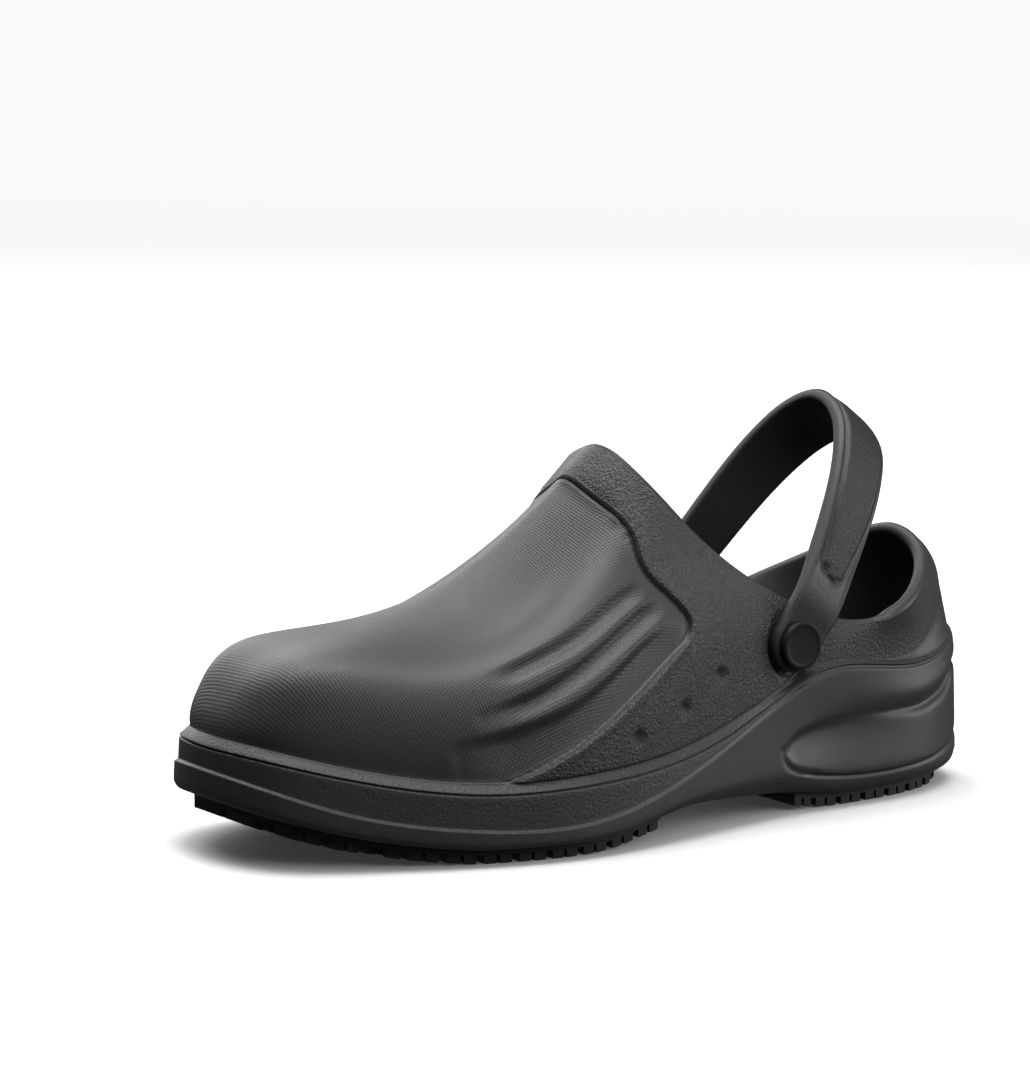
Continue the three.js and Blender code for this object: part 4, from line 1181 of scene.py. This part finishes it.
def strap_places(depth):
    tangent = np.stack([np.gradient(strap_up), np.gradient(strap_y)], -1)
    ends = strap_up <= 0
    tangent[ends & (strap_y > 0)] = (1, 0)
    tangent[ends & (strap_y < 0)] = (-1, 0)
    tangent /= np.linalg.norm(tangent, axis=-1, keepdims=True)
    rise = strap_up[:, None] - tangent[:, 1:] * depth
    y = strap_y[:, None] + tangent[:, :1] * depth
    along = np.array([-math.cos(STRAP_ANGLE), 0, math.sin(STRAP_ANGLE)])
    wide = np.array([math.sin(STRAP_ANGLE), 0, math.cos(STRAP_ANGLE)])
    start = np.array([rivet[1]["x"], 0, rivet[1]["z"]])
    return (start + rise[..., None] * along + strap_across[..., None] * wide
            + y[..., None] * np.array([0, 1.0, 0]))


outer_face = strap_places(STRAP_THICKNESS / 2 + half_thick + strap_relief)
inner_face = strap_places(STRAP_THICKNESS / 2 - half_thick)
strap_rows = np.concatenate([outer_face, inner_face[:, ::-1], outer_face[:, :1]], 1)
panel_mask = np.concatenate([smooth(0.0, 1.0, panel_inside), np.zeros_like(panel_inside),
                             smooth(0.0, 1.0, panel_inside)[:, :1]], 1)
heel_strap = wrap_grid("moulded_heel_strap", strap_rows, {"panel": panel_mask})

# %% [markdown]
# Caps and buttons are turned parts, so each is a profile of a few points that is spun
# round the rivet's axis. The cap's face is flat with a rounded edge and a faint lip.

# %% Rivets
POST_RADIUS = 3.0
CAP_RADIUS = 7.9
BUTTON_RADIUS = 6.0
POST_CLEARANCE = 0.3
SPIN_STEPS = 64


def spun_piece(name, profile, side, closed):
    """Spins (radius, distance from the middle plane) points round a rivet's axis."""
    place = rivet[side]
    bm = bmesh.new()
    corners = [bm.verts.new(to_frame((place["x"] + radius, side * depth, place["z"])))
               for radius, depth in profile]
    pairs = list(zip(corners, corners[1:])) + ([(corners[-1], corners[0])] if closed else [])
    edges = [bm.edges.new(pair) for pair in pairs]
    centre = to_frame((place["x"], 0, place["z"]))
    bmesh.ops.spin(bm, geom=corners + edges, cent=centre, axis=(0, 1, 0), dvec=(0, 0, 0),
                   angle=2 * math.pi, steps=SPIN_STEPS, use_merge=True)
    bmesh.ops.remove_doubles(bm, verts=bm.verts, dist=1e-6)
    bmesh.ops.recalc_face_normals(bm, faces=bm.faces)
    mesh = bpy.data.meshes.new(name)
    bm.to_mesh(mesh)
    bm.free()
    return finish_piece(mesh)


print("Steps round a spun piece:", SPIN_STEPS)

# %% Profiles of cap and button


def corner_arc(radius, depth, size, start, steps=4):
    """Points of a rounded corner whose centre is (radius, depth)."""
    return [(radius + size * math.cos(start + k / steps * math.pi / 2),
             depth + size * math.sin(start + k / steps * math.pi / 2)) for k in range(steps + 1)]


def cap_profile(place):
    crown, face = place["crown"], place["face"]
    post_end = place["boss"] - SEAT_CLEARANCE - BUTTON_THICKNESS
    lip = 0.7
    return [
        (0, crown - 0.22), (5.6, crown - 0.22), (6.1, crown - 0.16), (6.5, crown - 0.03), (6.8, crown),
        *reversed(corner_arc(CAP_RADIUS - lip, crown - lip, lip, 0)),
        (CAP_RADIUS, face + 0.3), (CAP_RADIUS - 0.3, face), (POST_RADIUS, face),
        (POST_RADIUS, post_end + 0.4), (POST_RADIUS - 0.4, post_end), (0, post_end),
    ]


def button_profile(place):
    near = place["boss"] - SEAT_CLEARANCE
    far = near - BUTTON_THICKNESS
    inner, outer, lip = POST_RADIUS + POST_CLEARANCE, BUTTON_RADIUS, 0.5
    return [
        (inner, near), (outer, near), (outer, far + lip), (outer - 0.15, far + 0.15), (outer - lip, far),
        (inner + lip, far), (inner + 0.15, far + 0.15), (inner, far + lip),
    ]


print("Points of the cap's profile:", len(cap_profile(rivet[1])))

# %% Caps and buttons
caps = {word: spun_piece("rivet_cap_face_" + word, cap_profile(rivet[side]), side, False)
        for side, word in ((1, "lateral"), (-1, "medial"))}
buttons = {word: spun_piece("rivet_ring_" + word, button_profile(rivet[side]), side, True)
           for side, word in ((1, "lateral"), (-1, "medial"))}

# %% [markdown]
# The insole is a loose slab cut to the footbed, with a rounded upper edge. It is a
# closed grid like the body: rows go from the middle underneath to the edge, over it
# and back to the middle on top.

# %% Insole
INSOLE_THICKNESS = 3.5
INSOLE_CLEARANCE = 0.4
insole_turns = turns[::4]
insole_inset = BED_INSET + INSOLE_CLEARANCE


def insole_ring(extra_inset, height):
    return inset_point(insole_turns, insole_inset + extra_inset,
                       lambda x: footbed_at(x) + SEAT_CLEARANCE + height)


insole_edge = [insole_ring(0.5, 0.0), insole_ring(0.1, 0.15), insole_ring(0.0, 0.5),
               insole_ring(0.0, INSOLE_THICKNESS - 1.2)]
insole_edge += [insole_ring(1.2 * (1 - math.cos(a)), INSOLE_THICKNESS - 1.2 * (1 - math.sin(a)))
                for a in np.linspace(0.25, 1, 5) * math.pi / 2]
insole_rows = np.concatenate([
    close_to_middle(insole_edge[0], 3)[::-1],
    np.array(insole_edge),
    close_to_middle(insole_edge[-1], 8),
])
insole = wrap_grid("loose_insole", insole_rows)

# %% [markdown]
# The rubber pads are thin plates with lugs. The plate follows the hollow of the sole.
# Lugs stand in rows between the channels of the CAD pads, and each is split by a sipe,
# a narrow cut that lets the rubber grip. Every lug starts as one face that is pulled
# down, and its edges are bevelled.

# %% Tread pads
LUG_DEPTH = 2.8
LUG_PITCH = 11.0
LUG_GAP = 2.4
SIPE_WIDTH = 1.0
PAD_INSET = 6.5
LUG_SINK = 0.3
LUG_BEVEL = 0.35
SMALLEST_LUG = 1.2
HEEL_PAD_END = 0.31
FOREFOOT_PAD_START = 0.53
HEEL_CHANNELS = (-0.17, 0.02, 0.21)
FOREFOOT_CHANNELS = (-0.28, -0.10, 0.08, 0.26)
STATIONS_PER_LUG = 3
pad_outline = inset_point(turns, PAD_INSET, 0.0)
outer_half = turns <= 0.5
inner_half = turns >= 0.5
PADS = {
    # start, end, first cut and channels
    "outsole_heel": (pad_outline[:, 0].min(), HEEL_PAD_END * SHOE_LENGTH, -PAD_INSET, HEEL_CHANNELS),
    "outsole_forefoot": (FOREFOOT_PAD_START * SHOE_LENGTH, pad_outline[:, 0].max(),
                         FOREFOOT_PAD_START * SHOE_LENGTH, FOREFOOT_CHANNELS),
}


def pad_limits(x):
    """Inner and outer edge of the pad at a place along the shoe."""
    outer = np.interp(x, pad_outline[outer_half, 0], pad_outline[outer_half, 1])
    inner = np.interp(x, pad_outline[inner_half, 0][::-1], pad_outline[inner_half, 1][::-1])
    return inner, outer


print("Edges of the front pad at its start, mm:", np.round(pad_limits(FOREFOOT_PAD_START * SHOE_LENGTH), 1))

# %% Plates of the pads


def pad_plate(name, start, end):
    places = start + (end - start) * (1 - np.cos(np.linspace(0, math.pi, 60))) / 2
    inner, outer = pad_limits(places)
    bottom = floor_contact(places) + LUG_DEPTH
    top = underside_at(places) - SEAT_CLEARANCE
    loop = []
    for y, z in ((inner, bottom), (outer, bottom), (outer, top), (inner, top), (inner, bottom)):
        loop.append(np.stack([places, y, z], -1))
    rows = np.stack(loop, 1)
    middle = rows[:, :4].mean(1, keepdims=True).repeat(5, 1)
    return wrap_grid(name, np.concatenate([middle[:1], rows, middle[-1:]]))


print("Thickness of the plate, mm:", round(TREAD_HEIGHT - SEAT_CLEARANCE - LUG_DEPTH, 2))

# %% Lugs


def lug_blocks(start, end, first_cut, shares):
    """Places of the lugs as (x from, x to, y from, y to)."""
    cuts = np.arange(first_cut, end + LUG_PITCH, LUG_PITCH)
    sides = [-BALL_WIDTH, *(share * BALL_WIDTH for share in shares), BALL_WIDTH]
    for cut in cuts:
        first = max(cut + LUG_GAP / 2, start)
        last = min(cut + LUG_PITCH - LUG_GAP / 2, end)
        if last - first < 2:
            continue
        middle = (first + last) / 2
        for x0, x1 in ((first, middle - SIPE_WIDTH / 2), (middle + SIPE_WIDTH / 2, last)):
            for y0, y1 in zip(sides, sides[1:]):
                yield x0, x1, y0 + LUG_GAP / 2, y1 - LUG_GAP / 2


def add_lug(bm, x0, x1, y0, y1):
    places = np.linspace(x0, x1, STATIONS_PER_LUG)
    inner, outer = pad_limits(places)
    inner, outer = np.maximum(inner, y0), np.minimum(outer, y1)
    if (outer - inner).min() < SMALLEST_LUG:
        return
    heights = floor_contact(places)
    ring = [*zip(places, inner, heights), *zip(places[::-1], outer[::-1], heights[::-1])]
    face = bm.faces.new([bm.verts.new(to_frame(corner)) for corner in ring])
    made = bmesh.ops.extrude_face_region(bm, geom=[face])["geom"]
    raised = [item for item in made if isinstance(item, bmesh.types.BMVert)]
    bmesh.ops.translate(bm, verts=raised, vec=(0, 0, (LUG_DEPTH + LUG_SINK) * MM))
    bmesh.ops.bevel(bm, geom=list(face.edges), offset=LUG_BEVEL * MM, affect="EDGES", segments=2,
                    profile=0.5, material=-1)


print("Lug pitch and gap, mm:", LUG_PITCH, LUG_GAP)

# %% Pads with their lugs


def tread_pad(name, start, end, first_cut, shares):
    plate = pad_plate(name + "_plate_mesh", start, end)
    bm = bmesh.new()
    bm.from_mesh(plate.data)
    for block in lug_blocks(start, end, first_cut, shares):
        add_lug(bm, *block)
    bmesh.ops.recalc_face_normals(bm, faces=bm.faces)
    mesh = bpy.data.meshes.new(name.replace("outsole", "tread"))
    bm.to_mesh(mesh)
    bm.free()
    bpy.data.objects.remove(plate)
    piece = finish_piece(mesh)
    mesh.shade_flat()
    return piece


pads = {node: tread_pad(node, *facts) for node, facts in PADS.items()}

# %% [markdown]
# The strap is the same foam, a little smoother and darker. Its raised panel has a fine
# grain, which the attribute on the mesh keeps off the smooth rim.

# %% Strap finish


def strap_finish():
    foam = Finish("strap_foam")
    panel = foam.attribute("panel")
    grain = foam.noise(1.1, 3.0, 0.5)
    height = grain * (0.10 + 0.40 * panel) + foam.noise(3.5, 1.0) * 0.015
    tone = foam.tint(foam.noise(0.06, 2.0), grey(0.026, 0.0004, 0.0012), grey(0.033, 0.0004, 0.0014))
    foam.set(Base_Color=tone, Roughness=0.40 + 0.10 * foam.noise(0.5, 2.0), Normal=foam.bump(height))
    return foam.material


heel_strap.data.materials.append(strap_finish())
print("Strap finish:", heel_strap.data.materials[0].name)

# %% [markdown]
# Caps and buttons are hard black plastic with a dull gloss. Hands leave fine scuffs on
# it, so the roughness changes along stretched noise, and the surface is hardly uneven.

# %% Plastic finish


def plastic_finish():
    plastic = Finish("cap_plastic")
    scuff = plastic.between(plastic.noise(0.6, 4.0, stretch=(1, 1, 0.15)), 0.62, 0.72)
    tone = plastic.tint(plastic.noise(0.2, 2.0), grey(0.008), grey(0.012))
    height = plastic.noise(6.0, 2.0) * 0.010 - scuff * 0.010
    plastic.set(Base_Color=tone, Roughness=0.48 + 0.10 * scuff + 0.05 * plastic.noise(0.8),
                Specular_IOR_Level=0.25, Normal=plastic.bump(height))
    return plastic.material


plastic_material = plastic_finish()
for turned in (*caps.values(), *buttons.values()):
    turned.data.materials.append(plastic_material)
print("Plastic pieces:", len(caps) + len(buttons))

# %% [markdown]
# The insole is a matt foam with small closed cells. Smooth Voronoi cells give that skin,
# and a little noise keeps the cells from looking too even.

# %% Insole finish


def insole_finish():
    sock = Finish("insole_foam")
    cells = sock.node("TexVoronoi", {"feature": "SMOOTH_F1"}, {"Vector": sock.place, "Scale": 0.55})
    height = cells * 0.25 + sock.noise(2.0, 3.0) * 0.10
    tone = sock.tint(sock.noise(0.04, 3.0), grey(0.018), grey(0.028))
    sock.set(Base_Color=tone, Roughness=0.75 + 0.10 * sock.noise(0.3), Normal=sock.bump(height))
    return sock.material


insole.data.materials.append(insole_finish())
print("Insole finish:", insole.data.materials[0].name)

# %% [markdown]
# The tread is matt black rubber with a trace of dust in patches. Dust is both paler and
# rougher than the rubber, so one mask feeds the colour and the roughness.

# %% Rubber finish


def rubber_finish():
    rubber = Finish("tread_rubber")
    dust = rubber.between(rubber.noise(0.12, 4.0), 0.55, 0.80)
    tone = rubber.tint(dust * 0.35, grey(0.010), grey(0.035))
    height = rubber.noise(1.6, 3.0) * 0.08 + rubber.noise(6.0, 1.0) * 0.02
    rubber.set(Base_Color=tone, Roughness=0.62 + 0.15 * dust, Normal=rubber.bump(height))
    return rubber.material


rubber_material = rubber_finish()
for pad in pads.values():
    pad.data.materials.append(rubber_material)
print("Finishes:", [material.name for material in bpy.data.materials if material.users])

# %% [markdown]
# The picture is taken from the outer front with a long lens, a little above the shoe.
# The lens and place were worked out from the outline of the shoe, and the floor is a
# pale sweep. The light is soft and comes from above and behind, so the top of the
# vamp shines and the side stays dark.

# %% Camera
PHOTO_HEIGHT = 1080
FOCAL_PIXELS = 3744.85
SENSOR = 36.0
CAMERA_PLACE = Vector((0.715454, 0.967309, 0.263006))
CAMERA_YAW = math.radians(35.217288)
CAMERA_PITCH = math.radians(8.192402)
CAMERA_ROLL = math.radians(-0.539025)


def place_camera():
    ahead = Vector((-math.sin(CAMERA_YAW) * math.cos(CAMERA_PITCH),
                    -math.cos(CAMERA_YAW) * math.cos(CAMERA_PITCH), -math.sin(CAMERA_PITCH)))
    level_right = Vector((-math.cos(CAMERA_YAW), math.sin(CAMERA_YAW), 0))
    level_down = ahead.cross(level_right)
    right = level_right * math.cos(CAMERA_ROLL) + level_down * math.sin(CAMERA_ROLL)
    down = level_down * math.cos(CAMERA_ROLL) - level_right * math.sin(CAMERA_ROLL)
    data = bpy.data.cameras.new("camera")
    data.sensor_width = SENSOR
    data.lens = FOCAL_PIXELS / PHOTO_HEIGHT * SENSOR
    camera = bpy.data.objects.new("camera", data)
    bpy.context.scene.collection.objects.link(camera)
    turn = Matrix((right, -down, -ahead)).transposed()
    camera.matrix_world = Matrix.Translation(CAMERA_PLACE) @ turn.to_4x4()
    bpy.context.scene.camera = camera
    return camera


camera = place_camera()
print("Lens, mm:", round(camera.data.lens, 1))

# %% [markdown]
# The floor and backdrop are one round sweep: a line that runs out along the floor,
# bends up and is spun round the shoe, so that every side has the same pale ground. A
# pale glow grows with the distance, as lamps on a backdrop give it. The sweep is kept
# out of the shoe's own light, which comes from the lamps and a weak glow from below,
# because a bright floor would wash out the black foam.

# %% Floor and backdrop
FLOOR_REACH = 3.0
SWEEP_RADIUS = 0.8
SWEEP_HEIGHT = 3.0
SWEEP_STEPS = 10
GLOW_STRETCH = (150, 1600)


def stage_sweep():
    bm = bmesh.new()
    profile = [(0, 0)] + [(reach, 0) for reach in (0.5, 1.5, FLOOR_REACH)]
    for k in range(1, SWEEP_STEPS + 1):
        angle = k / SWEEP_STEPS * math.pi / 2
        profile.append((FLOOR_REACH + SWEEP_RADIUS * math.sin(angle), SWEEP_RADIUS * (1 - math.cos(angle))))
    profile.append((FLOOR_REACH + SWEEP_RADIUS, SWEEP_HEIGHT))
    corners = [bm.verts.new((reach, 0, height)) for reach, height in profile]
    edges = [bm.edges.new(pair) for pair in zip(corners, corners[1:])]
    bmesh.ops.spin(bm, geom=corners + edges, cent=(0, 0, 0), axis=(0, 0, 1), dvec=(0, 0, 0),
                   angle=2 * math.pi, steps=64, use_merge=True)
    bmesh.ops.remove_doubles(bm, verts=bm.verts, dist=1e-5)
    bmesh.ops.recalc_face_normals(bm, faces=bm.faces)
    if sum(face.normal.z for face in bm.faces) < 0:
        bmesh.ops.reverse_faces(bm, faces=bm.faces)
    mesh = bpy.data.meshes.new("studio_sweep")
    bm.to_mesh(mesh)
    bm.free()
    mesh.shade_smooth()
    sweep = bpy.data.objects.new("studio_sweep", mesh)
    bpy.context.scene.collection.objects.link(sweep)
    return sweep


sweep = stage_sweep()
print("Sweep faces:", len(sweep.data.polygons))

# %% Paper finish


def paper_finish():
    paper = Finish("pale_paper")
    away = paper.node("VectorMath", {"operation": "LENGTH"}, {0: paper.place}, output="Value")
    glow = paper.between(away, *GLOW_STRETCH)
    paper.set(Base_Color=paper.tint(paper.noise(0.002), grey(0.97), grey(0.99)), Roughness=0.9,
              Emission_Color=paper.tint(glow, grey(0.03), grey(0.80)), Emission_Strength=1.0)
    return paper.material


sweep.data.materials.append(paper_finish())
sweep.visible_diffuse = False
sweep.visible_glossy = False
sweep.visible_shadow = False
print("Glow grows from and to, mm:", GLOW_STRETCH)

# %% [markdown]
# Three lamps hang over the shoe and make the long sheen on the vamp. One stands low
# behind it and draws the upper edges, and a weak one hangs high in front. Two fill the
# heel side, and none stands by the toe, so that the side of the toe stays dark.

# %% Light
LAMPS = {
    # place in metres, size, watts
    "broad_overhead": ((0.0, -0.2, 1.8), 2.6, 14.0),
    "overhead": ((0.0, 0.1, 1.6), 1.2, 16.0),
    "overhead_back": ((0.25, -0.75, 1.5), 1.2, 12.0),
    "low_behind": ((-0.3, -1.8, 0.8), 1.4, 12.0),
    "front_high": ((0.0, 1.4, 1.3), 1.1, 7.0),
    "heel_front": ((-0.7, 1.6, 0.7), 1.0, 5.0),
    "heel_low": ((-1.5, 0.7, 0.3), 0.8, 7.0),
}
LAMP_TARGET = Vector((0, 0, 0.05))
GLOW_ABOVE = 0.02
GLOW_BELOW = 0.08


def soft_light(name, place, size, power):
    data = bpy.data.lights.new(name, "AREA")
    data.shape = "DISK"
    data.size = size
    data.energy = power
    light = bpy.data.objects.new(name, data)
    bpy.context.scene.collection.objects.link(light)
    light.location = place
    light.rotation_euler = (LAMP_TARGET - Vector(place)).to_track_quat("-Z", "Y").to_euler()
    light.visible_camera = False
    return light


for lamp, facts in LAMPS.items():
    soft_light(lamp, *facts)

# %% [markdown]
# A pale floor throws some light up under the shoe. The sweep itself throws none, so the
# world does it: a weak glow from below the horizon and next to none from above.

# %% Glow


def studio_glow():
    world = bpy.data.worlds.new("studio")
    world.use_nodes = True
    tree = world.node_tree
    place = tree.nodes.new("ShaderNodeTexCoord")
    parts = tree.nodes.new("ShaderNodeSeparateXYZ")
    level = tree.nodes.new("ShaderNodeMapRange")
    tree.links.new(place.outputs["Generated"], parts.inputs[0])
    tree.links.new(parts.outputs["Z"], level.inputs["Value"])
    settings = {"From Min": -0.1, "From Max": 0.1, "To Min": GLOW_BELOW, "To Max": GLOW_ABOVE}
    for key, value in settings.items():
        level.inputs[key].default_value = value
    background = tree.nodes["Background"]
    tree.links.new(level.outputs[0], background.inputs["Color"])
    background.inputs["Strength"].default_value = 1.0
    return world


bpy.context.scene.world = studio_glow()
bpy.context.scene.view_settings.view_transform = "Standard"
print("Glow below and above:", GLOW_BELOW, GLOW_ABOVE)

# %% [markdown]
# Each piece is handed over to the frame: it rides on the one body that the shoe has,
# and the CAD node that it stands in for is hidden.

# %% Pieces and their places
PIECES = (
    (clog_body, "upper_and_midsole", "foam"),
    (heel_strap, "heel_strap", "strap_foam"),
    (insole, "insole", "insole_foam"),
    *((caps[word], "rivet_cap_" + word, "rivet_plastic") for word in caps),
    *((buttons[word], "rivet_button_" + word, "rivet_plastic") for word in buttons),
    *((pads[node], node, "outsole_rubber") for node in pads),
)
for piece, node, slot in PIECES:
    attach(piece, "root")
    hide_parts(node)
print("Pieces:", [piece.name for piece, _, _ in PIECES])
